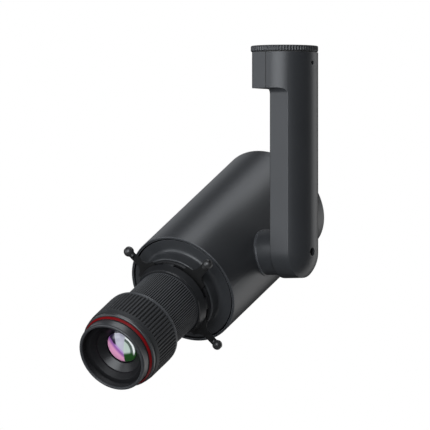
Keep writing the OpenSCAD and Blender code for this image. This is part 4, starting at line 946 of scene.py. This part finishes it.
def studio_flag():
    """Dark dome round the object, seen by gloss alone: the grid is part of a ball about the object,
    from one side angle to the other, and leaves an open strip that puts a light edge on the object's
    right."""
    radius = 3.2
    columns = 60
    rows = 20
    side = np.radians(np.linspace(92, 413, columns))[:, None]
    rise = np.radians(np.linspace(-88, 89, rows))
    x = radius * np.cos(side) * np.cos(rise)
    y = radius * np.sin(side) * np.cos(rise)
    z = radius * np.sin(rise) + 0 * side
    points = np.stack([x, y, z], axis=-1).reshape(-1, 3)
    i, j = np.meshgrid(np.arange(columns - 1), np.arange(rows - 1), indexing="ij")
    first = (i * rows + j).ravel()
    faces = np.stack([first, first + 1, first + rows + 1, first + rows], axis=-1)

    def finish(tree, shader):
        shader.inputs["Base Color"].default_value = (0.02, 0.02, 0.02, 1)
        shader.inputs["Roughness"].default_value = 1.0
        shader.inputs["Specular IOR Level"].default_value = 0.0

    flag = solid("flag", points, faces.tolist(), [material("flag_black", finish)])
    flag.visible_camera = False
    flag.visible_diffuse = False
    flag.visible_transmission = False
    flag.visible_shadow = False


def photo_camera():
    """Camera at the photograph's angle. A long lens far away stands in for its parallel view, and the
    pivot lies at its measured pixel."""
    right = Vector((math.cos(CAMERA_AZIMUTH), math.sin(CAMERA_AZIMUTH), 0))
    back = Vector((
        math.sin(CAMERA_AZIMUTH) * math.cos(CAMERA_ELEVATION),
        -math.cos(CAMERA_AZIMUTH) * math.cos(CAMERA_ELEVATION),
        math.sin(CAMERA_ELEVATION),
    ))
    up = back.cross(right)
    scale = MM_PER_PX * MM
    centre = (
        Vector(pivot)
        + right * (PHOTO_PX / 2 - PIVOT_PX[0]) * scale
        + up * (PIVOT_PX[1] - PHOTO_PX / 2) * scale
    )
    data = bpy.data.cameras.new("camera")
    data.lens = LENS_MM
    data.sensor_width = SENSOR_MM
    data.clip_start = 0.5
    data.clip_end = 60.0
    camera = bpy.data.objects.new("camera", data)
    bpy.context.scene.collection.objects.link(camera)
    distance = PHOTO_PX * scale * LENS_MM / SENSOR_MM
    camera.location = centre + back * distance
    camera.rotation_euler = (-back).to_track_quat("-Z", "Y").to_euler()
    bpy.context.scene.camera = camera
    return centre


centre = photo_camera()
make_world()
pale_floor()
studio_flag()
for lamp in LAMPS:
    softbox(*lamp, centre)
bpy.context.scene.view_settings.view_transform = "Standard"
